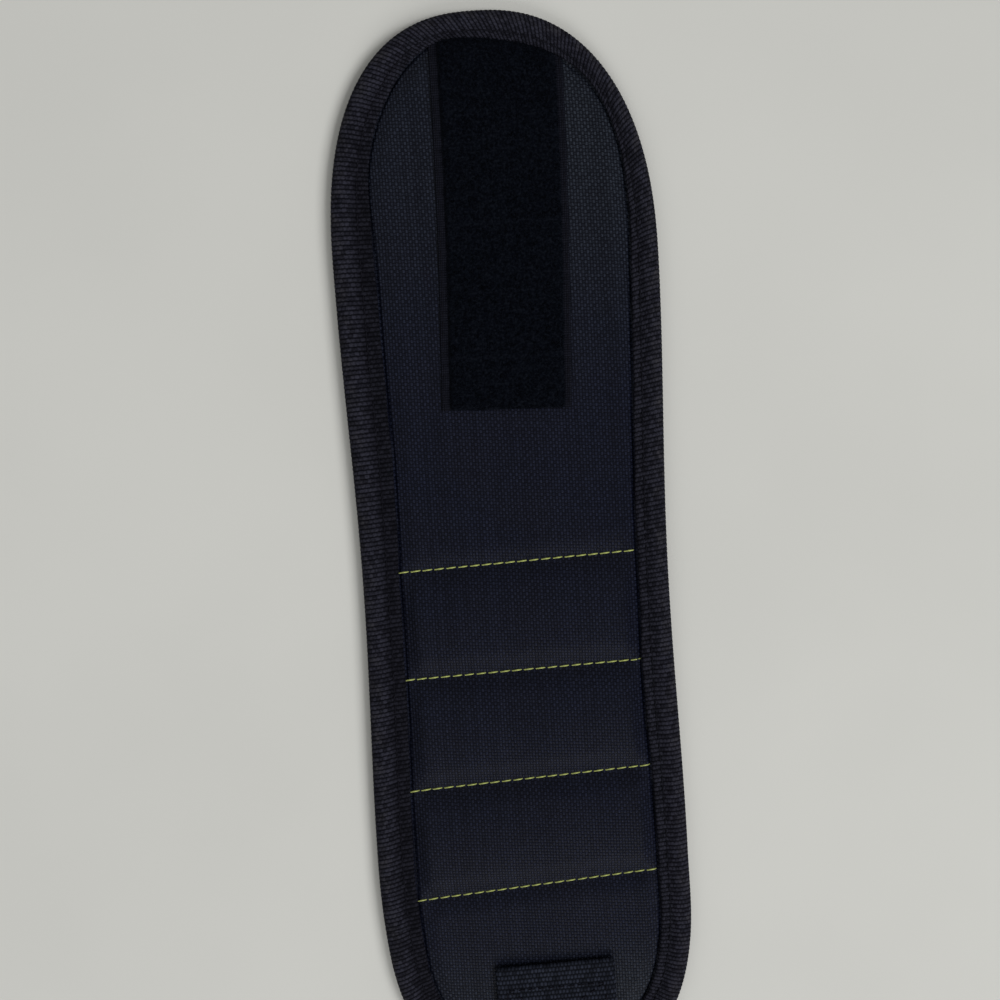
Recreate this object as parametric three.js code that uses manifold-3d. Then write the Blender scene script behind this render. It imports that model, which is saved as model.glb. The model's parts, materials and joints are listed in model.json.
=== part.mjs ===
// Magnetic wristband, lying open and flat with its front up.
// Millimetres, +Z up, +Y towards the loop tape end. The origin is under the middle of the whole length.
// The soft layers fold along straight lines across the band, so each layer is cut there into panels.
import * as THREE from 'three';
import { mergeVertices } from 'three/addons/utils/BufferGeometryUtils.js';
import Module from 'manifold-3d';

// Clearances
const LAYER_GAP = 0.1;
const FOLD_GAP = 0.6;
const EDGE_GAP = 0.3;
const POCKET_GAP = 0.3;

// Sheet thicknesses
const CLOTH = 0.6;
const LINING = 3.0;
const LINING_UNDER_PAD = 1.6;
const LINING_PINCHED = 1.5;
const BINDING = 0.8;
const STRAP = 1.6;
const HOOK = 1.5;
const SELVEDGE = 0.6;
const PILE = 1.8;

// Magnets and the foam strip that holds one pair
const MAGNET_DIAMETER = 18;
const MAGNET_THICKNESS = 2.2;
const MAGNET_CHAMFER = 0.3;
const MAGNET_SPACING = 27.4;
const PAD_WALL = 2.5;
const PAD_INSET = 3.2;

// Cross profile of the band, from the edge inwards
const BINDING_WIDTH = 9.4;
const BINDING_NOSE = 1.4;
const BINDING_LIP = 0.3;
const FLAT_BESIDE_BINDING = 1;
const EDGE_RAMP = 4.6;
const PAD_MARGIN = 0.5;

// Lengths along the band. The panels without magnets share what the rows leave, in these parts.
const BAND_LENGTH = 286;
const STRAP_FREE_LENGTH = 50;
const TIP_SHARE = 37;
const LOOP_UPPER_SHARE = 34;
const LOOP_LOWER_SHARE = 35;
const PLAIN_SHARE = 37;
const HEEL_SHARE = 20;
const STRAP_SEAT_SHARE = 33;
const SEAM_LEDGE = 1.7;
const SEAM_RAMP = 3.8;

// Rounded ends of the outline, each a quarter of a superellipse on either side
const FLARE = 1.6;
const TIP_CAP_DEPTH = 64.5;
const TIP_CAP_POWER = 2.4;
const END_CAP_DEPTH = 60;
const END_CAP_POWER = 3;

// Loop tape, strap and hook patch on the front
const TAPE_WIDTH = 34;
const SELVEDGE_WIDTH = 1.5;
const TAPE_SHIFT_UPPER = 4.2;
const TAPE_SHIFT_LOWER = 0.6;
const TAPE_END_MARGIN = 4;
const STRAP_WIDTH = 33;
const STRAP_SHIFT = 3.5;
const STRAP_START_MARGIN = 2;
const STRAP_DROP_LENGTH = 13;
const STRAP_EDGE_ROUND = 0.6;
const HOOK_SIDE_MARGIN = 1.5;
const HOOK_END_MARGIN = 1.5;
const HOOK_CORNER = 2;

// Seam threads
const THREAD_DIAMETER = 0.8;
const THREAD_RISE = 0.25;
const STITCH_PITCH = 3.2;
const THREAD_END_MARGIN = 1.2;

// Folds: height of the fold line above the back, and how far each side of a cut leans away from it
const FOLD_HEIGHT = 1.2;
const FOLD_LEAN_BACK = THREE.MathUtils.degToRad(31);
const FOLD_LEAN_FRONT = THREE.MathUtils.degToRad(8);

// Heights of the layers, from the table up
const magnetRadius = MAGNET_DIAMETER / 2;
const padThickness = MAGNET_THICKNESS + 2 * LAYER_GAP;
const liningEdgeUnder = BINDING + LAYER_GAP;
const liningEdgeOver = liningEdgeUnder + LINING_PINCHED;
const clothEdgeOver = liningEdgeOver + LAYER_GAP + CLOTH;
const bindingTop = clothEdgeOver + LAYER_GAP + BINDING;
const padUnder = LINING_UNDER_PAD + LAYER_GAP;
const seamTop = LINING_UNDER_PAD + LAYER_GAP + CLOTH;
const panelTop = LINING + LAYER_GAP + CLOTH;
const rowTop = padUnder + padThickness + LAYER_GAP + CLOTH;
const tapeUnder = panelTop + LAYER_GAP;
const strapOverBinding = Math.max(bindingTop, panelTop) + LAYER_GAP;
const strapFlatUnder = HOOK + LAYER_GAP;
const strapFoldHeight = strapOverBinding + STRAP / 2;

// Widths, from the magnets out to the edge
const padHalf = MAGNET_SPACING / 2 + magnetRadius + POCKET_GAP + PAD_WALL;
const rampEnd = BINDING_WIDTH + FLAT_BESIDE_BINDING + EDGE_RAMP;
const waistHalf = padHalf + PAD_MARGIN + rampEnd;
const capHalf = waistHalf + FLARE;
const edgeInset = BINDING + 2 * EDGE_GAP;

// Lengths: a row of the quilting is as long as its magnets need
const rowLength = MAGNET_DIAMETER + 2 * (POCKET_GAP + PAD_WALL + PAD_INSET);
const panels = [
  { name: 'tip', share: TIP_SHARE, tape: true },
  { name: 'loop_upper', share: LOOP_UPPER_SHARE, tape: true },
  { name: 'loop_lower', share: LOOP_LOWER_SHARE, tape: true },
  { name: 'plain', share: PLAIN_SHARE },
  { name: 'row_1', share: 0, row: true },
  { name: 'row_2', share: 0, row: true },
  { name: 'row_3', share: 0, row: true },
  { name: 'heel', share: HEEL_SHARE },
  { name: 'strap_seat', share: STRAP_SEAT_SHARE },
];
const rows = panels.filter((panel) => panel.row);
const allShares = panels.reduce((sum, panel) => sum + panel.share, 0);
const perShare = (BAND_LENGTH - rows.length * rowLength) / allShares;
let bandLength = 0;
for (const panel of panels) {
  panel.length = panel.row ? rowLength : panel.share * perShare;
  panel.start = bandLength;
  bandLength += panel.length;
  panel.end = bandLength;
}
const totalLength = bandLength + STRAP_FREE_LENGTH;
const seams = [rows[0].start, ...rows.map((panel) => panel.end)];
const tipPanel = panels[0];
const seatPanel = panels[panels.length - 1];
const tapeEnd = panels.findLast((panel) => panel.tape).end - TAPE_END_MARGIN;

const wasm = await Module();
wasm.setup();

const band = new THREE.Group();

// Place along Y of a distance along the band
function lengthwise(along) {
  return totalLength / 2 - along;
}

// Cap of the outline that a distance along the band lies in, or none between the two
function capAt(along) {
  const fromEnd = bandLength - along;
  if (along < TIP_CAP_DEPTH) return { depth: TIP_CAP_DEPTH, power: TIP_CAP_POWER, toEdge: along };
  if (fromEnd < END_CAP_DEPTH) return { depth: END_CAP_DEPTH, power: END_CAP_POWER, toEdge: fromEnd };
  return null;
}

// Half width of the outline, moved inwards by an inset
function halfWidth(along, inset = 0) {
  const cap = capAt(along);
  if (!cap) {
    const share = (along - TIP_CAP_DEPTH) / (bandLength - TIP_CAP_DEPTH - END_CAP_DEPTH);
    return capHalf - FLARE * Math.sin(Math.PI * share) ** 2 - inset;
  }
  const reach = (cap.depth - cap.toEdge) / (cap.depth - inset);
  return (capHalf - inset) * Math.max(0, 1 - reach ** cap.power) ** (1 / cap.power);
}

// Outward normal of the outline family through a plan point, in x and towards the cap's end
function capNormal(x, cap) {
  const across = Math.abs(x) / capHalf;
  const up = (cap.depth - cap.toEdge) / cap.depth;
  const radius = (across ** cap.power + up ** cap.power) ** (1 / cap.power);
  const slopeAcross = (across / radius) ** (cap.power - 1) / capHalf;
  const slopeUp = (up / radius) ** (cap.power - 1) / cap.depth;
  const slope = Math.hypot(slopeAcross, slopeUp);
  return { radius, slope, across: (Math.sign(x) * slopeAcross) / slope, up: slopeUp / slope };
}

// Distance of a plan point from the outline
function edgeDistance(x, along) {
  const cap = capAt(along);
  if (!cap) return halfWidth(along) - Math.abs(x);
  const normal = capNormal(x, cap);
  return (1 - normal.radius) / normal.slope;
}

// 0 where the binding pinches the layers, 1 where they are full
function fullness(x, along) {
  const past = edgeDistance(x, along) - BINDING_WIDTH - FLAT_BESIDE_BINDING;
  return THREE.MathUtils.smoothstep(past, 0, EDGE_RAMP);
}

// 0 on the ledge beside a seam, 1 on the flat of the panel
function seamFullness(along) {
  const away = Math.min(...seams.map((seam) => Math.abs(along - seam)));
  return THREE.MathUtils.smoothstep(away - SEAM_LEDGE, 0, SEAM_RAMP);
}

function clothOver(x, along, panel) {
  const crown = THREE.MathUtils.lerp(seamTop, panel.row ? rowTop : panelTop, seamFullness(along));
  return THREE.MathUtils.lerp(clothEdgeOver, crown, fullness(x, along));
}

function liningOver(x, along, panel) {
  const flat = panel.row ? LINING_UNDER_PAD : LINING;
  const crown = THREE.MathUtils.lerp(LINING_UNDER_PAD, flat, seamFullness(along));
  return THREE.MathUtils.lerp(liningEdgeOver, crown, fullness(x, along));
}

// How far a cut at a fold stands back from the fold line at a height
function standBack(height, foldHeight = FOLD_HEIGHT) {
  const lean = height < foldHeight ? FOLD_LEAN_BACK : FOLD_LEAN_FRONT;
  return FOLD_GAP / 2 + Math.abs(height - foldHeight) * Math.tan(lean);
}

// Which end of a panel is cut at a fold there: -1 its start, 1 its end, 0 neither
function foldSide(along, panel) {
  if (along === panel.start && panel !== tipPanel) return -1;
  if (along === panel.end && panel !== seatPanel) return 1;
  return 0;
}

// Moves a point that lies on a panel's cut end back from the fold, by its height
function cutBack(along, height, panel) {
  return along - foldSide(along, panel) * standBack(height);
}

// Closed body from points and triangles, turned so that its faces point out
function closedBody(points, triangles) {
  let volume = 0;
  for (const [a, b, c] of triangles) volume += points[a].dot(points[b].clone().cross(points[c]));
  const geometry = new THREE.BufferGeometry();
  geometry.setFromPoints(points);
  geometry.setIndex(triangles.flatMap(([a, b, c]) => (volume > 0 ? [a, b, c] : [a, c, b])));
  return geometry;
}

// Body between an under and an over surface on one grid of columns and rows
function layer(columns, stations, underPoint, overPoint) {
  const grid = (point) => columns.flatMap((column) => stations.map((station) => point(column, station)));
  const points = [...grid(underPoint), ...grid(overPoint)];
  const count = columns.length * stations.length;
  const at = (i, j) => i * stations.length + j;
  const triangles = [];
  for (let i = 0; i + 1 < columns.length; i += 1) {
    for (let j = 0; j + 1 < stations.length; j += 1) {
      const [a, b, c, d] = [at(i, j), at(i + 1, j), at(i + 1, j + 1), at(i, j + 1)];
      triangles.push([a, b, c], [a, c, d]);
      triangles.push([a + count, c + count, b + count], [a + count, d + count, c + count]);
    }
  }
  const [lastColumn, lastRow] = [columns.length - 1, stations.length - 1];
  const rim = [
    ...stations.map((_, j) => at(0, j)),
    ...columns.map((_, i) => at(i, lastRow)).slice(1),
    ...stations.map((_, j) => at(lastColumn, lastRow - j)).slice(1),
    ...columns.map((_, i) => at(lastColumn - i, 0)).slice(1, -1),
  ];
  rim.forEach((a, k) => {
    const b = rim[(k + 1) % rim.length];
    triangles.push([a, b, b + count], [a, b + count, a + count]);
  });
  return closedBody(points, triangles);
}

// Body through a run of closed sections, each with the points of one anticlockwise outline, which caps it
function skin(sections, outline) {
  const points = sections.flat();
  const size = outline.length;
  const caps = THREE.ShapeUtils.triangulateShape(outline, []);
  const last = (sections.length - 1) * size;
  const triangles = [];
  for (const [a, b, c] of caps) triangles.push([a, c, b], [last + a, last + b, last + c]);
  for (let j = 0; j + 1 < sections.length; j += 1) {
    for (let k = 0; k < size; k += 1) {
      const [a, b] = [j * size + k, j * size + ((k + 1) % size)];
      triangles.push([a, b, b + size], [a, b + size, a + size]);
    }
  }
  return closedBody(points, triangles);
}

// Side profile in distance along the band and height, as wide as a strip on the front
function strip(profile, width) {
  const geometry = new THREE.ExtrudeGeometry(profile, { depth: width, bevelEnabled: false, curveSegments: 6 });
  const toBand = new THREE.Matrix4().makeBasis(
    new THREE.Vector3(0, -1, 0),
    new THREE.Vector3(0, 0, 1),
    new THREE.Vector3(-1, 0, 0),
  );
  toBand.setPosition(STRAP_SHIFT + width / 2, lengthwise(0), 0);
  return geometry.applyMatrix4(toBand);
}

function toManifold(geometry) {
  const bare = geometry.clone();
  bare.deleteAttribute('normal');
  bare.deleteAttribute('uv');
  const merged = mergeVertices(bare, 1e-4);
  return new wasm.Manifold(new wasm.Mesh({
    numProp: 3,
    vertProperties: new Float32Array(merged.attributes.position.array),
    triVerts: new Uint32Array(merged.index.array),
  }));
}

function fromManifold(solid) {
  const mesh = solid.getMesh();
  const geometry = new THREE.BufferGeometry();
  geometry.setAttribute('position', new THREE.BufferAttribute(mesh.vertProperties, 3));
  geometry.setIndex(new THREE.BufferAttribute(mesh.triVerts, 1));
  return geometry;
}

function addMesh(name, geometry, look) {
  geometry.computeVertexNormals();
  const mesh = new THREE.Mesh(geometry, new THREE.MeshStandardMaterial(look));
  mesh.name = name;
  band.add(mesh);
  return mesh;
}

const clothLook = { color: 0x17171d, roughness: 0.9, metalness: 0 };
const liningLook = { color: 0x141416, roughness: 0.95, metalness: 0 };
const bindingLook = { color: 0x1b1815, roughness: 0.85, metalness: 0 };
const tapeLook = { color: 0x0d0d0f, roughness: 1, metalness: 0 };
const strapLook = { color: 0x161519, roughness: 0.85, metalness: 0 };
const hookLook = { color: 0x0c0c0e, roughness: 0.6, metalness: 0 };
const foamLook = { color: 0x3a3a3c, roughness: 1, metalness: 0 };
const magnetLook = { color: 0xb9bcc0, roughness: 0.25, metalness: 1 };
const threadLook = { color: 0xc2c63a, roughness: 0.6, metalness: 0 };

// Grid columns of a layer, as shares of its half width: they follow the profile at the waist, and are
// closer where an end narrows
function layerColumns(panel) {
  const layerHalf = waistHalf - edgeInset;
  const rampStart = BINDING_WIDTH + FLAT_BESIDE_BINDING;
  const insets = [edgeInset, BINDING_WIDTH / 2, rampStart, rampStart + EDGE_RAMP / 2, rampEnd];
  const shares = insets.map((inset) => (waistHalf - inset) / layerHalf);
  const flatShare = shares[shares.length - 1];
  const flatSteps = panel === tipPanel || panel === seatPanel ? 4 : 1;
  for (let k = 1; k < flatSteps; k += 1) shares.push(flatShare * (1 - k / flatSteps));
  return [...shares.map((share) => -share), 0, ...shares.reverse()];
}

// Grid rows of a layer: closer over a rounded end and beside the seams
function layerStations(panel) {
  const apexSteps = 9;
  const apexFlat = 0.15;
  if (panel === tipPanel || panel === seatPanel) {
    const stations = [];
    for (let k = 0; k <= apexSteps; k += 1) {
      const share = 1 - Math.cos((k / apexSteps) * (Math.PI / 2));
      const toEdge = THREE.MathUtils.lerp(edgeInset + apexFlat, panel.length, share);
      stations.push(panel === tipPanel ? toEdge : bandLength - toEdge);
    }
    stations[apexSteps] = panel === tipPanel ? panel.end : panel.start;
    return panel === tipPanel ? stations : stations.reverse();
  }
  const ramp = [SEAM_LEDGE, SEAM_LEDGE + SEAM_RAMP / 2, SEAM_LEDGE + SEAM_RAMP];
  const early = seams.includes(panel.start) ? ramp.map((step) => panel.start + step) : [];
  const late = seams.includes(panel.end) ? ramp.map((step) => panel.end - step).reverse() : [];
  const middle = panel.start + panel.length / 2;
  return [panel.start, ...early, middle, ...late, panel.end];
}

// Layer of one panel between two height functions, under the binding to the edge inset
function panelLayer(panel, under, over) {
  const pointAt = (height) => (share, along) => {
    const z = height(share * halfWidth(along, edgeInset), along);
    const cut = cutBack(along, z, panel);
    return new THREE.Vector3(share * halfWidth(cut, edgeInset), lengthwise(cut), z);
  };
  return layer(layerColumns(panel), layerStations(panel), pointAt(under), pointAt(over));
}

function addLayers(panel) {
  const liningUnder = (x, along) => liningEdgeUnder * (1 - fullness(x, along));
  const cloth = (x, along) => clothOver(x, along, panel);
  const lining = panelLayer(panel, liningUnder, (x, along) => liningOver(x, along, panel));
  addMesh(`lining_${panel.name}`, lining, liningLook);
  addMesh(`cloth_${panel.name}`, panelLayer(panel, (x, along) => cloth(x, along) - CLOTH, cloth), clothLook);
}

// Section of the binding folded over the edge, as inset and height
function bindingOutline() {
  const half = BINDING_NOSE * (1 - Math.SQRT1_2);
  const wall = edgeInset - EDGE_GAP;
  const outer = [
    [BINDING_WIDTH, BINDING_LIP],
    [BINDING_WIDTH - BINDING_LIP, 0],
    [BINDING_NOSE, 0],
    [half, half],
    [0, BINDING_NOSE],
  ];
  const inner = [
    [wall, BINDING + BINDING_LIP],
    [wall + BINDING_LIP, BINDING],
    [BINDING_WIDTH, BINDING],
  ];
  const upper = (list) => list.map(([inset, height]) => [inset, bindingTop - height]).reverse();
  const ring = [...outer, ...upper(outer), ...upper(inner), ...inner];
  return ring.reverse().map(([inset, height]) => new THREE.Vector2(inset, height));
}

// One section of the binding at a point of the outline. At a fold it lies square across the band.
function bindingSection(x, along, panel, outline) {
  const cap = capAt(along);
  const normal = cap ? capNormal(x, cap) : { across: Math.sign(x), up: 0 };
  const towardsEnd = cap && along > bandLength / 2 ? 1 : -1;
  const square = foldSide(along, panel) !== 0;
  return outline.map(({ x: inset, y: height }) => {
    const inwards = square ? inset / normal.across : inset * normal.across;
    const down = square ? 0 : inset * normal.up * towardsEnd;
    const cut = cutBack(along - down, height, panel);
    return new THREE.Vector3(x - inwards, lengthwise(cut), height);
  });
}

// Binding of one side of a panel
function addBindingSide(panel, side, label) {
  const steps = capAt(panel.start) || capAt(panel.end) ? 4 : 2;
  const outline = bindingOutline();
  const sections = [];
  for (let k = 0; k <= steps; k += 1) {
    const along = k === steps ? panel.end : panel.start + (k / steps) * panel.length;
    sections.push(bindingSection(side * halfWidth(along), along, panel, outline));
  }
  addMesh(`binding_${panel.name}_${label}`, skin(sections, outline), bindingLook);
}

// Binding round a whole end of the band, from fold to fold
function addBindingEnd(panel) {
  const steps = 26;
  const outline = bindingOutline();
  const fold = panel === tipPanel ? panel.end : panel.start;
  const cap = capAt(panel === tipPanel ? 0 : bandLength);
  const startAngle = Math.asin((1 - panel.length / cap.depth) ** (cap.power / 2));
  const sections = [];
  for (let k = 0; k <= steps; k += 1) {
    const angle = THREE.MathUtils.lerp(startAngle, Math.PI - startAngle, k / steps);
    const up = Math.sin(angle) ** (2 / cap.power);
    const across = Math.sign(Math.cos(angle)) * Math.abs(Math.cos(angle)) ** (2 / cap.power);
    const toEdge = cap.depth * (1 - up);
    const atFold = k === 0 || k === steps;
    const along = panel === tipPanel ? toEdge : bandLength - toEdge;
    sections.push(bindingSection(across * capHalf, atFold ? fold : along, panel, outline));
  }
  addMesh(`binding_${panel.name}`, skin(sections, outline), bindingLook);
}

function addBindings(panel) {
  if (panel === tipPanel || panel === seatPanel) {
    addBindingEnd(panel);
    return;
  }
  addBindingSide(panel, -1, 'left');
  addBindingSide(panel, 1, 'right');
}

// Soft loop tape with a thin selvedge along each side, sewn on a little askew.
// Its upper end follows the binding's inner edge.
function addLoopTape(panel) {
  const half = TAPE_WIDTH / 2;
  const pileHalf = half - SELVEDGE_WIDTH;
  const pileStep = 0.3;
  const sides = [half, pileHalf, pileHalf - pileStep, pileHalf / 2];
  const columns = [...sides.map((x) => -x), 0, ...[...sides].reverse()];
  const inset = BINDING_WIDTH + EDGE_GAP;
  const curvedStart = (x) => {
    const reach = 1 - (Math.abs(x) / (capHalf - inset)) ** TIP_CAP_POWER;
    return TIP_CAP_DEPTH - (TIP_CAP_DEPTH - inset) * reach ** (1 / TIP_CAP_POWER);
  };
  const shiftAt = (along) => THREE.MathUtils.mapLinear(along, 0, tapeEnd, TAPE_SHIFT_UPPER, TAPE_SHIFT_LOWER);
  const pointAt = (heightAt) => (column, row) => {
    const x = column + shiftAt(row === 0 ? panel.start : Math.min(panel.end, tapeEnd));
    const z = tapeUnder + heightAt(Math.abs(column));
    const first = panel === tipPanel ? curvedStart(x) : panel.start + standBack(z);
    const last = Math.min(panel.end - standBack(z), tapeEnd);
    return new THREE.Vector3(x, lengthwise(row === 0 ? first : last), z);
  };
  const over = (x) => (x < pileHalf ? PILE : SELVEDGE);
  addMesh(`loop_tape_${panel.name}`, layer(columns, [0, 1], pointAt(() => 0), pointAt(over)), tapeLook);
}

// Foam strip of one channel with a round pocket for each magnet, and the magnets in them
function addMagnets(panel) {
  const ramp = [PAD_INSET, SEAM_LEDGE + SEAM_RAMP];
  const stations = [...ramp.map((step) => panel.start + step), ...ramp.map((step) => panel.end - step).reverse()];
  const pointAt = (height) => (x, along) => new THREE.Vector3(x, lengthwise(along), height(along));
  const over = (along) => clothOver(0, along, panel) - CLOTH - LAYER_GAP;
  let pad = toManifold(layer([-padHalf, padHalf], stations, pointAt(() => padUnder), pointAt(over)));
  const middle = lengthwise(panel.start + panel.length / 2);
  const profile = [
    [0, 0],
    [magnetRadius - MAGNET_CHAMFER, 0],
    [magnetRadius, MAGNET_CHAMFER],
    [magnetRadius, MAGNET_THICKNESS - MAGNET_CHAMFER],
    [magnetRadius - MAGNET_CHAMFER, MAGNET_THICKNESS],
    [0, MAGNET_THICKNESS],
  ].map(([radius, height]) => new THREE.Vector2(radius, height));
  for (const [side, label] of [[-1, 'left'], [1, 'right']]) {
    const x = (side * MAGNET_SPACING) / 2;
    const pocket = new THREE.CylinderGeometry(magnetRadius + POCKET_GAP, magnetRadius + POCKET_GAP, rowTop, 28);
    pocket.rotateX(Math.PI / 2).translate(x, middle, padUnder + padThickness / 2);
    pad = pad.subtract(toManifold(pocket));
    const magnet = new THREE.LatheGeometry(profile, 28).rotateX(Math.PI / 2);
    const mesh = addMesh(`magnet_${panel.name}_${label}`, magnet, magnetLook);
    mesh.position.set(x, middle, padUnder + LAYER_GAP);
  }
  addMesh(`pad_${panel.name}`, fromManifold(pad), foamLook);
}

// Row of stitches on a seam's ledge: one thread that rises over each stitch and dips between them
function addSeamThread(seam, index) {
  const panel = rows[Math.max(0, index - 1)];
  const radius = THREAD_DIAMETER / 2;
  const fromSeam = (standBack(seamTop) + SEAM_LEDGE) / 2;
  const along = seam === panel.start ? seam + fromSeam : seam - fromSeam;
  const reach = halfWidth(along) - BINDING_WIDTH - THREAD_END_MARGIN;
  const halfStitches = 2 * Math.round((2 * reach) / STITCH_PITCH);
  const path = new THREE.CurvePath();
  const pointAt = (k) => {
    const x = THREE.MathUtils.lerp(-reach, reach, k / halfStitches);
    const low = clothOver(x, along, panel) + LAYER_GAP + radius;
    return new THREE.Vector3(x, lengthwise(along), low + (k % 2) * THREAD_RISE);
  };
  for (let k = 0; k < halfStitches; k += 1) path.add(new THREE.LineCurve3(pointAt(k), pointAt(k + 1)));
  const section = new THREE.Shape();
  section.absarc(0, 0, radius, 0, 2 * Math.PI);
  const tube = new THREE.ExtrudeGeometry(section, {
    extrudePath: path,
    steps: halfStitches,
    curveSegments: 3,
    bevelEnabled: false,
  });
  addMesh(`seam_thread_${index + 1}`, tube, threadLook);
}

// Strap: a base sewn on the front over the end binding, and a free end that drops to the table
function addStrap() {
  const start = seatPanel.start + STRAP_START_MARGIN;
  const baseTop = strapOverBinding + STRAP;
  const back = (height) => standBack(height, strapFoldHeight);
  const base = new THREE.Shape();
  base.moveTo(start, strapOverBinding);
  base.lineTo(bandLength - back(strapOverBinding), strapOverBinding);
  base.lineTo(bandLength - back(strapFoldHeight), strapFoldHeight);
  base.lineTo(bandLength - back(baseTop), baseTop);
  base.lineTo(start + STRAP_EDGE_ROUND, baseTop);
  base.quadraticCurveTo(start, baseTop, start, baseTop - STRAP_EDGE_ROUND);
  addMesh('strap_base', strip(base, STRAP_WIDTH), strapLook);

  const root = bandLength + back(strapFoldHeight);
  const flat = bandLength + STRAP_DROP_LENGTH;
  const half = (root + flat) / 2;
  const flatTop = strapFlatUnder + STRAP;
  const free = new THREE.Shape();
  free.moveTo(root, strapFoldHeight);
  free.lineTo(bandLength + back(strapOverBinding), strapOverBinding);
  free.bezierCurveTo(half, strapOverBinding, half, strapFlatUnder, flat, strapFlatUnder);
  free.lineTo(totalLength, strapFlatUnder);
  free.lineTo(totalLength, flatTop);
  free.lineTo(flat, flatTop);
  free.bezierCurveTo(half, flatTop, half, baseTop, bandLength + back(baseTop), baseTop);
  addMesh('strap_free', strip(free, STRAP_WIDTH), strapLook);

  const hookHalf = STRAP_WIDTH / 2 - HOOK_SIDE_MARGIN;
  const hookStart = lengthwise(flat + HOOK_END_MARGIN);
  const hookEnd = lengthwise(totalLength - HOOK_END_MARGIN);
  const patch = new THREE.Shape();
  patch.absarc(hookHalf - HOOK_CORNER, hookStart - HOOK_CORNER, HOOK_CORNER, 0, Math.PI / 2);
  patch.absarc(HOOK_CORNER - hookHalf, hookStart - HOOK_CORNER, HOOK_CORNER, Math.PI / 2, Math.PI);
  patch.absarc(HOOK_CORNER - hookHalf, hookEnd + HOOK_CORNER, HOOK_CORNER, Math.PI, 1.5 * Math.PI);
  patch.absarc(hookHalf - HOOK_CORNER, hookEnd + HOOK_CORNER, HOOK_CORNER, 1.5 * Math.PI, 2 * Math.PI);
  const hook = new THREE.ExtrudeGeometry(patch, { depth: HOOK, bevelEnabled: false, curveSegments: 4 });
  addMesh('hook_patch', hook, hookLook).position.x = STRAP_SHIFT;
}

for (const panel of panels) {
  addLayers(panel);
  addBindings(panel);
  if (panel.tape) addLoopTape(panel);
  if (panel.row) addMagnets(panel);
}
seams.forEach(addSeamThread);
addStrap();

export default band;
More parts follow.
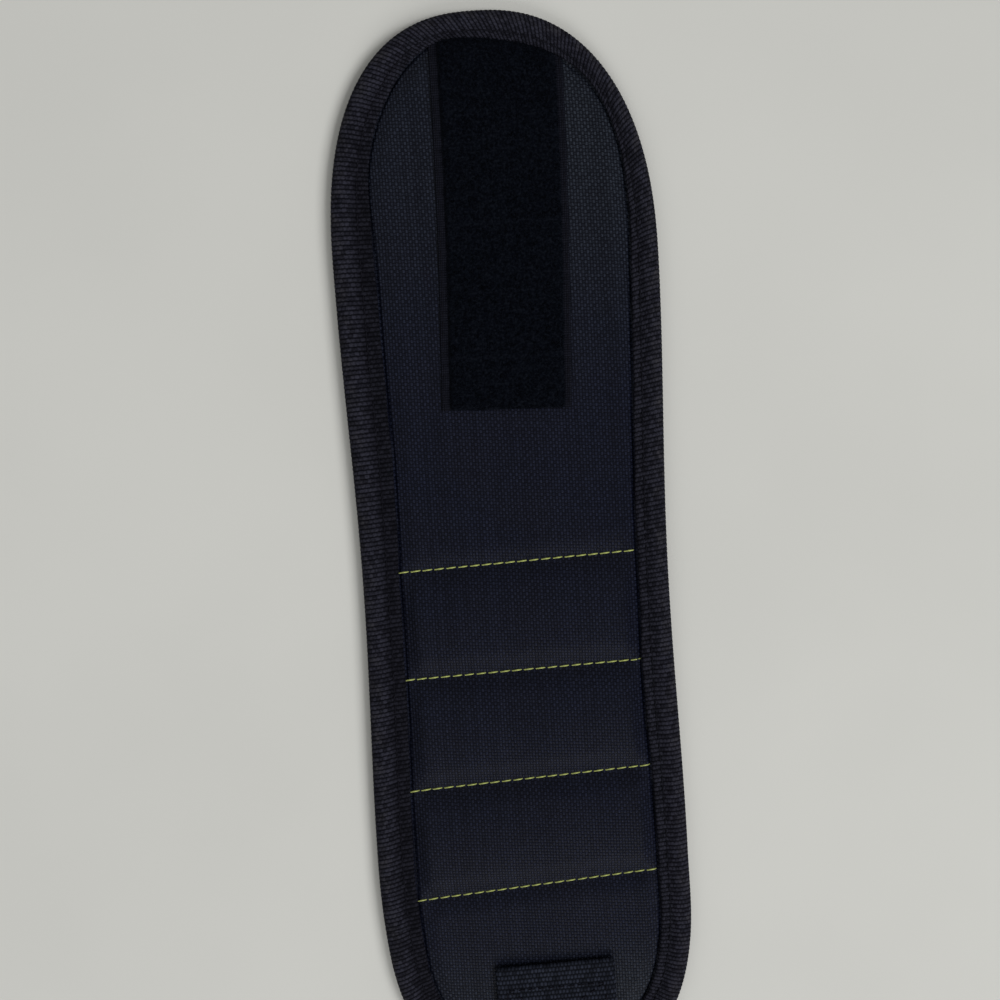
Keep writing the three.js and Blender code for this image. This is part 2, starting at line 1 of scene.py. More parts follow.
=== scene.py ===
import json
import bpy
import numpy as np
from mathutils import Matrix, Vector
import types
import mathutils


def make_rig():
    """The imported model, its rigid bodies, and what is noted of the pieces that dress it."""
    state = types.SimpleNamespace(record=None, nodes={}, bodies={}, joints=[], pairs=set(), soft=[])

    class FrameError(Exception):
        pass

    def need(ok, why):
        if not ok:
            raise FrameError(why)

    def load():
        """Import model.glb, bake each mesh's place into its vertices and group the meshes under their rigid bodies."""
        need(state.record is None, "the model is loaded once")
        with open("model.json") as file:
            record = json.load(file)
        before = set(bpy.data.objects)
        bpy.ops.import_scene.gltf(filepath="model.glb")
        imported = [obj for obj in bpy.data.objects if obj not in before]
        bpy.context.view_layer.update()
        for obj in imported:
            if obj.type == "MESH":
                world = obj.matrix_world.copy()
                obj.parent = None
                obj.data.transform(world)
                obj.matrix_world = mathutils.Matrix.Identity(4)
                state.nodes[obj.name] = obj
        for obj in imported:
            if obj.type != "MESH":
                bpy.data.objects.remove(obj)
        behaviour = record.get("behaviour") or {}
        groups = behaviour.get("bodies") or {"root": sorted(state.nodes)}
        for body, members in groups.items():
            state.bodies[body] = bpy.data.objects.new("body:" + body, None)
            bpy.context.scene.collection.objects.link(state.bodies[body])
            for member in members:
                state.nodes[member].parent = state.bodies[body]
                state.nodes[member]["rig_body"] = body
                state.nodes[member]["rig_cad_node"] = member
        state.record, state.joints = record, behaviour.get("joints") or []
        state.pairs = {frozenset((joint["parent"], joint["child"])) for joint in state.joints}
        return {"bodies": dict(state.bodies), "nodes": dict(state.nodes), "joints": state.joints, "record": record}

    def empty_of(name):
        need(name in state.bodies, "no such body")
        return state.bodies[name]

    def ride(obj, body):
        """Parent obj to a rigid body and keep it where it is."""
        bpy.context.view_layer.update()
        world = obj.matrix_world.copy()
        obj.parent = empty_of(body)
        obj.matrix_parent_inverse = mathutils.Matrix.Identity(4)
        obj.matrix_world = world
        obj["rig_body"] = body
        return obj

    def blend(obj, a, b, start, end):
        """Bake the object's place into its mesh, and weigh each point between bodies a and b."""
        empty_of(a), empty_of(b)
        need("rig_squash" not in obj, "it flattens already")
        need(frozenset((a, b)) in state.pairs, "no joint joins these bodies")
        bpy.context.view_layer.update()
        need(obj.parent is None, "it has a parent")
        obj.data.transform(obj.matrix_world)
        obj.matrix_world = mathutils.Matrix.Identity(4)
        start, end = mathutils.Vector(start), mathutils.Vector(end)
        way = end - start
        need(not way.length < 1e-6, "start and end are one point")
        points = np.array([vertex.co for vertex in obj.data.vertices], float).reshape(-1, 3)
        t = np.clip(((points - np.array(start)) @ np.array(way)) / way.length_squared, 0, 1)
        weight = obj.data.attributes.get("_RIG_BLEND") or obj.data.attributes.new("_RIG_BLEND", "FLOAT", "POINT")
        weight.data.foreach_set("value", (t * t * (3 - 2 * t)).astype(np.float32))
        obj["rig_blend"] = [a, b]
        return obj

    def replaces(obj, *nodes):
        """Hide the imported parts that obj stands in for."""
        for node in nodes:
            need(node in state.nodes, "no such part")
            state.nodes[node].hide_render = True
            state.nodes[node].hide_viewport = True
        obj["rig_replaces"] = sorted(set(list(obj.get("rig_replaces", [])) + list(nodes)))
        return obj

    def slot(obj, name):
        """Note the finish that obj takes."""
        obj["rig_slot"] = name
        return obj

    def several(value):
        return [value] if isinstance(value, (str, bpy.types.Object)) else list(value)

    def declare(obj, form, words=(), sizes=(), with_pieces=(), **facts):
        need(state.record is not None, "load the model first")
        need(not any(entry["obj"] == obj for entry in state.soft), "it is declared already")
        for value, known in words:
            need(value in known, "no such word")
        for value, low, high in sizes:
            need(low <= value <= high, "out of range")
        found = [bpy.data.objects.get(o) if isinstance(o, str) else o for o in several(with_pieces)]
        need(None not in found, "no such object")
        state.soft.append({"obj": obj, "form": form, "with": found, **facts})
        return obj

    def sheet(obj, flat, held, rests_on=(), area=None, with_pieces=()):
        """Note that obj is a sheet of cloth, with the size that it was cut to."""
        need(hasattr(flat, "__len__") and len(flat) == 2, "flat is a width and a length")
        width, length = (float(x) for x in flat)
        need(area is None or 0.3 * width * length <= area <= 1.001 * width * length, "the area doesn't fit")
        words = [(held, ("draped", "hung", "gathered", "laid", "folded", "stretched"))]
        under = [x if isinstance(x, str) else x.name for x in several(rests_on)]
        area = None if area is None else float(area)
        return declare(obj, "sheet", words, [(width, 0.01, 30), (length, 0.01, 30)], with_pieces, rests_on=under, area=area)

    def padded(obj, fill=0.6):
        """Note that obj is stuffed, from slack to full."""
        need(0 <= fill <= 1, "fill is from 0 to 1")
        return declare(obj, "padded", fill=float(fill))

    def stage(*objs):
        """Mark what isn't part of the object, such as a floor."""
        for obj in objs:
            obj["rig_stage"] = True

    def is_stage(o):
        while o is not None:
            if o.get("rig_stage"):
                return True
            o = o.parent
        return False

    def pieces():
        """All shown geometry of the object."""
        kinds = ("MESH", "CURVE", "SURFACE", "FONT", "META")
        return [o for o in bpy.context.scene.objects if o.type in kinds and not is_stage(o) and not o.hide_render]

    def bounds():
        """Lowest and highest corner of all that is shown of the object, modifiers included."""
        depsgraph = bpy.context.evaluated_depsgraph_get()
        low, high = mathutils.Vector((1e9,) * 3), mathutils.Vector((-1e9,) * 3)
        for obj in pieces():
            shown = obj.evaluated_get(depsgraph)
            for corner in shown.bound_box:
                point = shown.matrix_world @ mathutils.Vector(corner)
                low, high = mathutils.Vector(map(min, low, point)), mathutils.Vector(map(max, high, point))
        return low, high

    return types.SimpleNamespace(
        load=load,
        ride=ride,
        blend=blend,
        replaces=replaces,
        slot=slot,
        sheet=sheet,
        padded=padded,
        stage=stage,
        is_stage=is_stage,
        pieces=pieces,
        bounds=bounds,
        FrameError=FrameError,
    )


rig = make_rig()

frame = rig.load()
cadLow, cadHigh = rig.bounds()
scene = bpy.context.scene
mm = 0.001  # every plan below is in millimetres
print("frame loaded:", len(frame["nodes"]), "solids on", len(frame["bodies"]), "bodies")

# camera: place and directions in the frame, so that the band fills the picture as photographed
cameraSet = {"place": (-1.3, 66.4, 281.0), "look": (-0.0055, -0.0870, -0.9962),
             "up": (0.0628, 0.998, -0.0875), "lens": 37.8, "clip": (0.01, 20.0)}


def makeCamera():
    # three square axes from the line of sight and the picture's upward direction
    camera = bpy.data.objects.new("camera", bpy.data.cameras.new("camera"))
    scene.collection.objects.link(camera)
    ahead = Vector(cameraSet["look"]).normalized()
    right = ahead.cross(Vector(cameraSet["up"])).normalized()
    turn = Matrix((right, right.cross(ahead), -ahead)).transposed().to_4x4()
    camera.matrix_world = Matrix.Translation(Vector(cameraSet["place"]) * mm) @ turn
    camera.data.lens = cameraSet["lens"]
    camera.data.clip_start, camera.data.clip_end = cameraSet["clip"]
    scene.camera = camera


makeCamera()
print("camera placed")

# the band's plan: s runs along it from the loop end, x across it, z up from the table
bandPlan = {"length": 286.0, "whole": 336.0, "half": 42.6, "waist": 1.6,
            "tipDepth": 64.5, "tipPower": 2.4, "endDepth": 60.0, "endPower": 3.0,
            "pinched": 0.2, "ramp": 4.8, "tipSway": 1.8, "tipSwayReach": 75.0,
            "endSway": 0.5, "endSwayFrom": 225.0, "endSwayOver": 25.0,
            "capSamples": 6001, "sideSamples": 2001, "edgeSamples": 8001}
panelStarts = {"tip": 0.0, "loop_upper": 37.0, "loop_lower": 71.0, "plain": 106.0, "row_1": 143.0,
               "row_2": 173.0, "row_3": 203.0, "heel": 233.0, "strap_seat": 253.0}
foldReach = (15.0, 15.0, 15.0, 6.0, 6.0, 6.0, 6.0, 7.0)
seamPlaces = np.array((142.7, 172.2, 202.4, 232.6))
seamSlopes = np.tan(np.radians((2.0, 1.7, 3.0, 4.4)))
rowMiddles, rowHalf, magnetAside = (158.0, 188.0, 218.0), 15.0, 13.7
magnetPlaces = [(x, s) for s in rowMiddles for x in (-magnetAside, magnetAside)]


def smooth(t):
    # 0 to 1 with flat ends: 3 t squared less 2 t cubed
    t = np.clip(t, 0.0, 1.0)
    return t * t * (3.0 - 2.0 * t)


def mix(a, b, t):
    # from a to b by the share t
    return a + (b - a) * t


def rounded(t):
    # a quarter of a circle: 0 at 0 with an upright start, 1 from 1 on
    return np.sqrt(np.clip(1 - (1 - np.clip(t, 0, 1)) ** 2, 0, 1))


def ridges(value, pitch, power):
    # ridges of one pitch: the size of a sine, to a power that rounds them
    return np.abs(np.sin(np.pi * value / pitch)) ** power


def lay(x, s, z):
    # points in the frame from places on the band: y falls as s grows; the soft ends lie a little askew,
    # the tip by a parabola to the left, the strap's end eased to the right
    p = bandPlan
    tip = np.clip(1 - np.asarray(s) / p["tipSwayReach"], 0, 1)
    sway = p["endSway"] * smooth((s - p["endSwayFrom"]) / p["endSwayOver"]) - p["tipSway"] * tip ** 2
    return np.stack(np.broadcast_arrays(x + sway, p["whole"] / 2 - s, z), axis=-1).astype(float)


def waver(a, b, size, phase):
    # slow unevenness from -1 to 1: three crossed sine waves
    first = np.sin(a / size + phase) * np.cos(b / (1.3 * size) - 2.0 * phase)
    second = np.sin((a + b) / (1.9 * size) + 3.0 * phase)
    third = np.cos((a - 1.7 * b) / (2.7 * size) + phase)
    return (first + second + third) / 3.0


def halfAt(s, inset=0.0):
    # half width of the outline: a superellipse over each end and a waist of one sine hump between them
    p = bandPlan
    share = np.clip((s - p["tipDepth"]) / (p["length"] - p["tipDepth"] - p["endDepth"]), 0, 1)
    tip = np.clip((p["tipDepth"] - s) / (p["tipDepth"] - inset), 0, 1)
    end = np.clip((s - p["length"] + p["endDepth"]) / (p["endDepth"] - inset), 0, 1)
    half = p["half"] - inset - p["waist"] * np.sin(np.pi * share) ** 2
    half = half * (1 - tip ** p["tipPower"]) ** (1 / p["tipPower"])
    return half * (1 - end ** p["endPower"]) ** (1 / p["endPower"])


def capGap(x, toEdge, depth, power):
    # distance from a superellipse: what its radius lacks of 1, over the slope of that radius
    half = bandPlan["half"]
    across = np.abs(x) / half + 1e-9
    up = np.clip((depth - toEdge) / depth, 1e-9, None)
    radius = (across ** power + up ** power) ** (1 / power)
    slope = np.hypot((across / radius) ** (power - 1) / half, (up / radius) ** (power - 1) / depth)
    return (1 - radius) / slope


def edgeGap(x, s):
    # distance of a place from the outline
    p = bandPlan
    tip = capGap(x, s, p["tipDepth"], p["tipPower"])
    end = capGap(x, p["length"] - s, p["endDepth"], p["endPower"])
    side = halfAt(s) - np.abs(x)
    return np.where(s < p["tipDepth"], tip, np.where(s > p["length"] - p["endDepth"], end, side))


def makeEdgeLine():
    # the outline's right side from tip to end, as distance along it, place and outward direction
    p = bandPlan
    turn = np.linspace(np.pi / 2, 0, p["capSamples"])
    across, up = np.abs(np.cos(turn)), np.sin(turn)
    side = np.linspace(p["tipDepth"], p["length"] - p["endDepth"], p["sideSamples"])[1:-1]
    x = np.concatenate((p["half"] * across ** (2 / p["tipPower"]), halfAt(side),
                        (p["half"] * across ** (2 / p["endPower"]))[::-1]))
    s = np.concatenate((p["tipDepth"] * (1 - up ** (2 / p["tipPower"])), side,
                        (p["length"] - p["endDepth"] * (1 - up ** (2 / p["endPower"])))[::-1]))
    run = np.concatenate(([0.0], np.cumsum(np.hypot(np.diff(x), np.diff(s)))))
    even = np.linspace(0, run[-1], p["edgeSamples"])
    x, s = np.interp(even, run, x), np.interp(even, run, s)
    alongX, alongS = np.gradient(x, even), np.gradient(s, even)
    alongS[[0, -1]], alongX[0], alongX[-1] = 0.0, 1.0, -1.0
    length = np.hypot(alongX, alongS)
    return {"run": even, "x": x, "s": s, "outX": alongS / length, "outS": -alongX / length}


edgeLine = makeEdgeLine()


def edgeAt(run):
    # place, outward direction and distance from the tip at a distance along the edge; below 0 and past the
    # far end it runs up the left side, where the distance from the tip counts below 0
    whole = edgeLine["run"][-1]
    far = np.abs(run) > whole
    back = np.where(far, 2 * whole - np.abs(run), np.abs(run))
    side = np.where((run < 0) ^ far, -1.0, 1.0)
    x, s, outX, outS = (np.interp(back, edgeLine["run"], edgeLine[key]) for key in ("x", "s", "outX", "outS"))
    return x * side, s, outX * side, outS, back * side


# the binding's upper side at distances from the tip along the edge, the left side below 0: its width, which
# narrows round the tip, and the lean of its ribs
edgePlan = {"widths": ((-322, 9.0), (-290, 9.8), (-230, 10.2), (-200, 10.2), (-167, 9.9), (-150, 10.5),
                       (-138, 11.0), (-85, 11.1), (-72, 10.5), (-65, 9.8), (-56, 8.9), (-36, 8.7),
                       (-28, 8.1), (-21, 7.3), (-15, 6.4), (-9, 6.3), (0, 7.1), (7, 7.6), (13, 7.9),
                       (18, 7.7), (24, 6.8), (30, 5.9), (36, 5.3), (43, 5.0), (54, 5.5), (70, 6.5),
                       (80, 7.0), (90, 7.4), (105, 7.8), (140, 8.0), (175, 8.15), (190, 8.55), (205, 8.9),
                       (225, 8.55), (250, 8.2), (290, 8.6), (322, 9.0)),
            "leans": ((-322, 0.1), (-230, 0.2), (-150, 0.05), (-90, 0.0), (-55, 0.12), (-25, 0.42),
                      (20, 0.46), (45, 0.3), (100, 0.2), (160, 0.15), (200, 0.05), (322, 0.1)),
            "reach": 330, "perMm": 4, "easeOver": 20}


def easeTable(table):
    # straight lines between the table's places, then a weighted mean over 5 mm on either side
    reach, over = edgePlan["reach"], edgePlan["easeOver"]
    even = np.linspace(-reach, reach, 2 * reach * edgePlan["perMm"] + 1)
    weights = np.hanning(2 * over + 3)[1:-1]
    line = np.interp(even, *np.transpose(table))
    return even, np.convolve(np.pad(line, over, mode="edge"), weights / weights.sum(), mode="valid")


edgeWidths, edgeLeans = easeTable(edgePlan["widths"]), easeTable(edgePlan["leans"])


def fromTip(x, s):
    # distance from the tip of the edge beside a place: round the tip by the direction from the middle of its
    # cap, past it by s
    def turn(x, s):
        depth = bandPlan["tipDepth"]
        return np.where(s < depth, np.arctan2(np.abs(x), depth - s), np.pi / 2 + (s - depth) / 100.0)
    run = np.interp(turn(x, s), turn(edgeLine["x"], edgeLine["s"]), edgeLine["run"])
    return np.where(np.asarray(x) < 0, -run, run)


def toBinding(x, s):
    # distance of a place from the binding's inner edge
    return edgeGap(x, s) - np.interp(fromTip(x, s), *edgeWidths)


def fullness(x, s):
    # 0 where the binding pinches the layers, 1 where they are full
    return smooth((toBinding(x, s) - bandPlan["pinched"]) / bandPlan["ramp"])


def seamLines(x):
    # the four slanted seams at a place across the band
    return seamPlaces - seamSlopes * np.asarray(x)[..., None]


def seamGap(x, s):
    # distance along the band to the nearest seam
    return np.abs(np.asarray(s)[..., None] - seamLines(x)).min(axis=-1)


def onRows(x, s):
    # true between the first seam and the last
    lines = seamLines(x)
    return (s > lines[..., 0]) & (s < lines[..., 3])


def makeBends():
    # each fold with the two panels it joins, and the stretch of band that bends there, from mid panel to mid
    # panel; the last stretch takes in both of its panels
    names, starts = list(panelStarts), list(panelStarts.values())
    ends = starts[1:] + [bandPlan["length"]]
    middles = [(a + b) / 2 for a, b in zip(starts, ends)]
    bends = []
    for k, reach in enumerate(foldReach):
        last = k + 2 == len(names)
        bends.append({"before": names[k], "after": names[k + 1], "at": ends[k], "reach": reach,
                      "start": middles[k] if k else 0.0,
                      "end": bandPlan["length"] if last else middles[k + 1],
                      "panels": names[k:] if last else names[k:k + 1]})
    return bends


bends = makeBends()
strapBend = {"before": "strap_seat", "after": "strap", "at": bandPlan["length"], "reach": 6.0}


def faceOut(points, faces):
    # the faces turned round where the volume that they enclose comes out negative
    volume = 0.0
    for group in faces:
        for k in range(1, group.shape[1] - 1):
            a, b, c = points[group[:, 0]], points[group[:, k]], points[group[:, k + 1]]
            volume += np.einsum("ij,ij->", a, np.cross(b, c))
    return faces if volume > 0 else [group[:, ::-1] for group in faces]


def slab(over, under, uv, material=0):
    # closed body between two grids of one size: both skins, and a wall round their rim
    n, m = over.shape[:2]
    at = np.arange(n * m).reshape(n, m)
    skin = np.stack((at[:-1, :-1], at[1:, :-1], at[1:, 1:], at[:-1, 1:]), axis=-1).reshape(-1, 4)
    rim = np.concatenate((at[0], at[1:, -1], at[-1, -2::-1], at[-2:0:-1, 0]))
    after = np.roll(rim, -1)
    wall = np.stack((rim, after, after + n * m, rim + n * m), axis=-1)
    points = np.concatenate((over.reshape(-1, 3), under.reshape(-1, 3)))
    faces = faceOut(points, [np.concatenate((skin, skin[:, ::-1] + n * m, wall))])
    flat = np.stack(np.broadcast_arrays(*uv), axis=-1).reshape(-1, 2)
    return {"points": points, "faces": faces, "uv": np.concatenate((flat, flat)), "material": material}


def threads(paths, sideways, radius, sides=6, lobes=0.0, turns=0.0, material=0):
    # round threads along many paths: a ring across each path point, between a fixed sideways direction and
    # the path's own normal; lobes swell the ring on two sides, which turn along the path as plied yarn does
    count, steps = paths.shape[:2]
    along = np.gradient(paths, axis=1)
    along /= np.linalg.norm(along, axis=2, keepdims=True)
    across = np.broadcast_to(np.asarray(sideways, float)[:, None, :], paths.shape)
    normal = np.cross(along, across)
    angle = np.arange(sides) * 2 * np.pi / sides
    share = np.linspace(0, 1, steps)[:, None]
    swell = 1 + lobes * np.cos(2 * angle - 2 * np.pi * turns * share)
    size = np.broadcast_to(radius, (count, steps))[:, :, None] * swell
    ring = across[:, :, None] * np.cos(angle)[:, None] + normal[:, :, None] * np.sin(angle)[:, None]
    points = (paths[:, :, None] + size[..., None] * ring).reshape(-1, 3)
    at = np.arange(count * steps * sides).reshape(count, steps, sides)
    nextSide = np.roll(at, -1, axis=2)
    wall = np.stack((at[:, :-1], nextSide[:, :-1], nextSide[:, 1:], at[:, 1:]), axis=-1).reshape(-1, 4)
    caps = np.concatenate((at[:, 0, ::-1], at[:, -1]))
    uv = np.stack(np.broadcast_arrays(share[None], (angle / (2 * np.pi))[None, None], at)[:2], axis=-1)
    return {"points": points, "faces": faceOut(points, [wall, caps]), "uv": uv.reshape(-1, 2),
            "material": material}


# the two kinds of thread: points along a stitch, sides of its ring, swell of the plies and their turns
plainThread = {"steps": 7, "sides": 6, "lobes": 0.0, "turns": 0.0}
pliedThread = {"steps": 11, "sides": 10, "lobes": 0.14, "turns": 1.6}


def stitches(endAt, up, radius, lift, sink, material=0, form=plainThread):
    # one thread for each stitch between its two holes, which endAt gives half a stitch either way: straight,
    # and bent down into the cloth at its ends by the sixth power of the distance from its middle
    starts, ends = endAt(-0.5), endAt(0.5)
    t = np.linspace(0, 1, form["steps"])[:, None]
    paths = starts[:, None] + (ends - starts)[:, None] * t
    paths = paths + np.array((0.0, 0.0, up)) * (lift - sink * np.abs(2 * t - 1) ** 6)
    sideways = np.cross(ends - starts, (0.0, 0.0, up))
    sideways /= np.linalg.norm(sideways, axis=1, keepdims=True)
    return threads(paths, sideways, radius, form["sides"], form["lobes"], form["turns"], material)


def makePiece(name, parts, materials, slot, replaced, sharp=50.0):
    # one object from its parts' points, faces, UV places and material numbers, end to end
    points = np.concatenate([part["points"] for part in parts]) * mm
    uv = np.concatenate([part["uv"] for part in parts])
    loops, sizes, numbers, first = [], [], [], 0
    for part in parts:
        for group in part["faces"]:
            loops.append((group + first).ravel())
            sizes.append(np.full(len(group), group.shape[1]))
            numbers.append(np.full(len(group), part["material"]))
        first += len(part["points"])
    loops, sizes, numbers = (np.concatenate(lists).astype(np.int32) for lists in (loops, sizes, numbers))
    mesh = bpy.data.meshes.new(name)
    mesh.vertices.add(len(points))
    mesh.vertices.foreach_set("co", points.astype(np.float32).ravel())
    mesh.loops.add(len(loops))
    mesh.loops.foreach_set("vertex_index", loops)
    mesh.polygons.add(len(sizes))
    mesh.polygons.foreach_set("loop_start", (np.cumsum(sizes) - sizes).astype(np.int32))
    mesh.polygons.foreach_set("material_index", numbers)
    mesh.polygons.foreach_set("use_smooth", np.ones(len(sizes), bool))
    mesh.update(calc_edges=True)
    places = mesh.uv_layers.new(name="weavePlace")
    places.uv.foreach_set("vector", uv[loops].astype(np.float32).ravel())
    mesh.set_sharp_from_angle(angle=np.radians(sharp))
    for material in materials:
        mesh.materials.append(material)
    piece = bpy.data.objects.new(name, mesh)
    scene.collection.objects.link(piece)
    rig.slot(piece, slot)
    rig.replaces(piece, *replaced)
    return piece


def bendPiece(piece, bend):
    # the piece turns with the panel before the fold, then with the one after it
    y = bandPlan["whole"] / 2 - bend["at"]
    start, end = (0, (y + bend["reach"]) * mm, 0), (0, (y - bend["reach"]) * mm, 0)
    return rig.blend(piece, bend["before"], bend["after"], start=start, end=end)


class Nodes:
    # short calls for the nodes of one tree
    def __init__(self, tree):
        self.tree = tree

    def fill(self, socket, value):
        # another node's output is linked, a plain value is set
        if isinstance(value, bpy.types.NodeSocket):
            self.tree.links.new(value, socket)
        else:
            socket.default_value = value

    def add(self, kind, values=(), **settings):
        # a node with its settings, its first inputs filled in order
        node = self.tree.nodes.new(kind)
        for key, value in settings.items():
            setattr(node, key, value)
        for socket, value in zip(node.inputs, values):
            self.fill(socket, value)
        return node

    def calc(self, operation, *values):
        # one step of arithmetic
        return self.add("ShaderNodeMath", values, operation=operation).outputs[0]

    def times(self, product, *others):
        # the product of all the values
        for other in others:
            product = self.calc("MULTIPLY", product, other)
        return product

    def ramp(self, value, low, high, lowOut=0.0, highOut=1.0):
        # from lowOut at low to highOut at high, by the smooth step of the value between them
        values = (value, low, high, lowOut, highOut)
        return self.add("ShaderNodeMapRange", values, interpolation_type="SMOOTHSTEP").outputs[0]

    def blend(self, factor, dark, bright):
        # a colour between two
        node = self.add("ShaderNodeMix", data_type="RGBA")
        self.fill(node.inputs[0], factor)
        for socket, value in ((node.inputs[6], dark), (node.inputs[7], bright)):
            self.fill(socket, value if isinstance(value, bpy.types.NodeSocket) else (*value, 1.0))
        return node.outputs[2]

    def shaderBlend(self, factor, first, second, output):
        # one shader or the other by the factor, to the tree's output
        values = (factor, first.outputs[0], second.outputs[0])
        self.fill(self.tree.nodes[output].inputs["Surface"], self.add("ShaderNodeMixShader", values).outputs[0])


class Finish(Nodes):
    # a new material with its plan's shine; its pattern lies on the piece's own UV map in millimetres, u and v,
    # or on object places
    def __init__(self, name, p, ownMap=True):
        self.material = bpy.data.materials.new(name)
        self.material.use_nodes = True
        super().__init__(self.material.node_tree)
        self.plan = p
        self.shader = self.tree.nodes["Principled BSDF"]
        for key, socket in (("rough", "Roughness"), ("specular", "Specular IOR Level"),
                            ("sheen", "Sheen Weight"), ("metal", "Metallic")):
            self.shader.inputs[socket].default_value = p.get(key, 0.0)
        if ownMap:
            self.place = self.add("ShaderNodeUVMap", uv_map="weavePlace").outputs[0]
            self.u, self.v = self.add("ShaderNodeSeparateXYZ", (self.place,)).outputs[:2]
        else:
            self.place = self.add("ShaderNodeTexCoord").outputs["Object"]

    def cloud(self, scale, detail):
        # a soft noise on the pattern's places
        node = self.add("ShaderNodeTexNoise")
        for socket, value in (("Vector", self.place), ("Scale", scale), ("Detail", detail)):
            self.fill(node.inputs[socket], value)
        return node.outputs["Fac"]

    def mottle(self, scale, detail, low=0.0, high=1.0, span=(0.3, 0.7)):
        # soft patches: the middle span of a noise drawn out from low to high
        return self.ramp(self.cloud(scale, detail), *span, low, high)

    def chance(self, a, b, share, least):
        # for each crossing of two yarns a number between least and least plus share
        node = self.add("ShaderNodeTexWhiteNoise", noise_dimensions="2D")
        self.fill(node.inputs["Vector"], self.add("ShaderNodeCombineXYZ", (a, b)).outputs[0])
        return self.calc("MULTIPLY_ADD", node.outputs["Value"], share, least)

    def wave(self, value, pitch, power=1.0):
        # ridges of one pitch: the size of a sine, 0 in the grooves and 1 on the crests, to a power
        ridge = self.calc("ABSOLUTE", self.calc("SINE", self.times(value, np.pi / pitch)))
        return self.calc("POWER", ridge, power)

    def staggered(self, rowPitch, beadPitch):
        # rows along v, and the place in each row counted in beads, half a bead on from the row before
        row = self.calc("FLOOR", self.calc("DIVIDE", self.v, rowPitch))
        return row, self.calc("MULTIPLY_ADD", row, 0.5, self.calc("DIVIDE", self.u, beadPitch))

    def paint(self, colour, height=None):
        # the colour, and a bump from the height with the plan's depth in millimetres and strength
        self.fill(self.shader.inputs["Base Color"], colour)
        if height is not None:
            depth, strength = self.plan["bump"]
            node = self.add("ShaderNodeBump")
            for socket, value in (("Strength", strength), ("Distance", depth * mm), ("Height", height)):
                self.fill(node.inputs[socket], value)
            self.fill(self.shader.inputs["Normal"], node.outputs[0])
        return self.material


def tinted(colour, shares):
    # each part of a colour times its own share
    return [part * share for part, share in zip(colour, shares)]


# in the finishes below spots and patches give a noise's scale, its detail, its least and its most, some with
# the span that is used of it; uneven gives the spread from yarn to yarn and its least
clothFinish = {"rough": 0.44, "specular": 0.085, "bump": (0.16, 0.8), "warp": 0.79, "weft": 0.86, "skew": 0.082,
               "top": 1.1, "length": 0.3, "weftShare": 0.44, "uneven": (0.6, 0.7), "slub": (0.3, 0.85),
               "spots": (3.0, 2.0, 0.45, 1.5), "patches": (0.06, 3.0, 0.0, 0.35),
               "dark": (0.0004, 0.0005, 0.0024), "bright": (0.0112, 0.0139, 0.0288),
               "warmDark": (1.6, 1.2, 0.9), "warmBright": (1.15, 1.0, 0.85), "sheenTint": (2.3, 2.25, 1.5),
               "tipSheen": (112.0, 22.0), "endSheen": (244.0, 266.0), "sideSheen": (-30.0, 30.0, 0.45, 1.0)}


def makeClothFinish(p):
    # plain weave of thick yarns: at every other crossing the lengthwise yarn lies on top and catches the
    # light; painted sheen makes the cloth paler towards the tip and the sewn end, more on the right
    f = Finish("oxfordCloth", p)
    a = f.calc("DIVIDE", f.u, p["warp"])
    b = f.calc("DIVIDE", f.calc("SUBTRACT", f.v, f.times(f.u, p["skew"])), p["weft"])
    cellA, cellB = f.calc("FLOOR", a), f.calc("FLOOR", b)
    under = f.calc("FLOORED_MODULO", f.calc("ADD", cellA, cellB), 2.0)
    warp = f.times(f.wave(a, 1.0, p["top"]), f.wave(b, 1.0, p["length"]))
    weft = f.times(f.wave(a, 1.0, p["length"]), f.wave(b, 1.0, p["top"]), p["weftShare"])
    dot = f.calc("ADD", f.times(warp, f.calc("SUBTRACT", 1.0, under)), f.times(weft, under))
    uneven, slub = f.chance(cellA, cellB, *p["uneven"]), f.chance(cellA, 7.0, *p["slub"])
    value = f.times(dot, uneven, slub, f.mottle(*p["spots"]))
    plain = f.blend(value, p["dark"], p["bright"])
    warm = f.blend(value, tinted(p["dark"], p["warmDark"]), tinted(p["bright"], p["warmBright"]))
    # painted sheen: a paler colour towards the tip, the sewn end and the right side
    sheenColour = f.blend(value, p["dark"], tinted(p["bright"], p["sheenTint"]))
    paintedSheen = f.calc("MAXIMUM", f.ramp(f.v, *p["tipSheen"]), f.ramp(f.v, *p["endSheen"]))
    paintedSheen = f.times(paintedSheen, f.ramp(f.u, *p["sideSheen"]))
    patchy = f.blend(f.mottle(*p["patches"]), plain, warm)
    return f.paint(f.blend(paintedSheen, patchy, sheenColour), dot)


bindingFinish = {"rough": 0.85, "specular": 0.05, "bump": (0.06, 0.7), "rib": 1.2, "bead": 1.1,
                 "beadRound": 0.8, "beadShare": 0.5, "uneven": (0.9, 0.45), "spots": (2.6, 2.0, 0.45, 1.45),
                 "dark": (0.0008, 0.0008, 0.0014), "bright": (0.0245, 0.0248, 0.0365),
                 "paintedSheen": (0.036, 0.034, 0.036), "wearAndHighlightAt": 12.6, "wearAndHighlightReach": (4.5, 0.5), "wearAndHighlightShare": 0.7,
                 "wearAndHighlightPatches": (0.22, 4.0, 0.0, 1.0, (0.38, 0.72)), "flap": (16.1, 19.1),
                 "leftTip": (-25.0, -65.0, 0.15, 0.5), "leftEnd": (325.0, 360.0, 0.15, 0.5)}


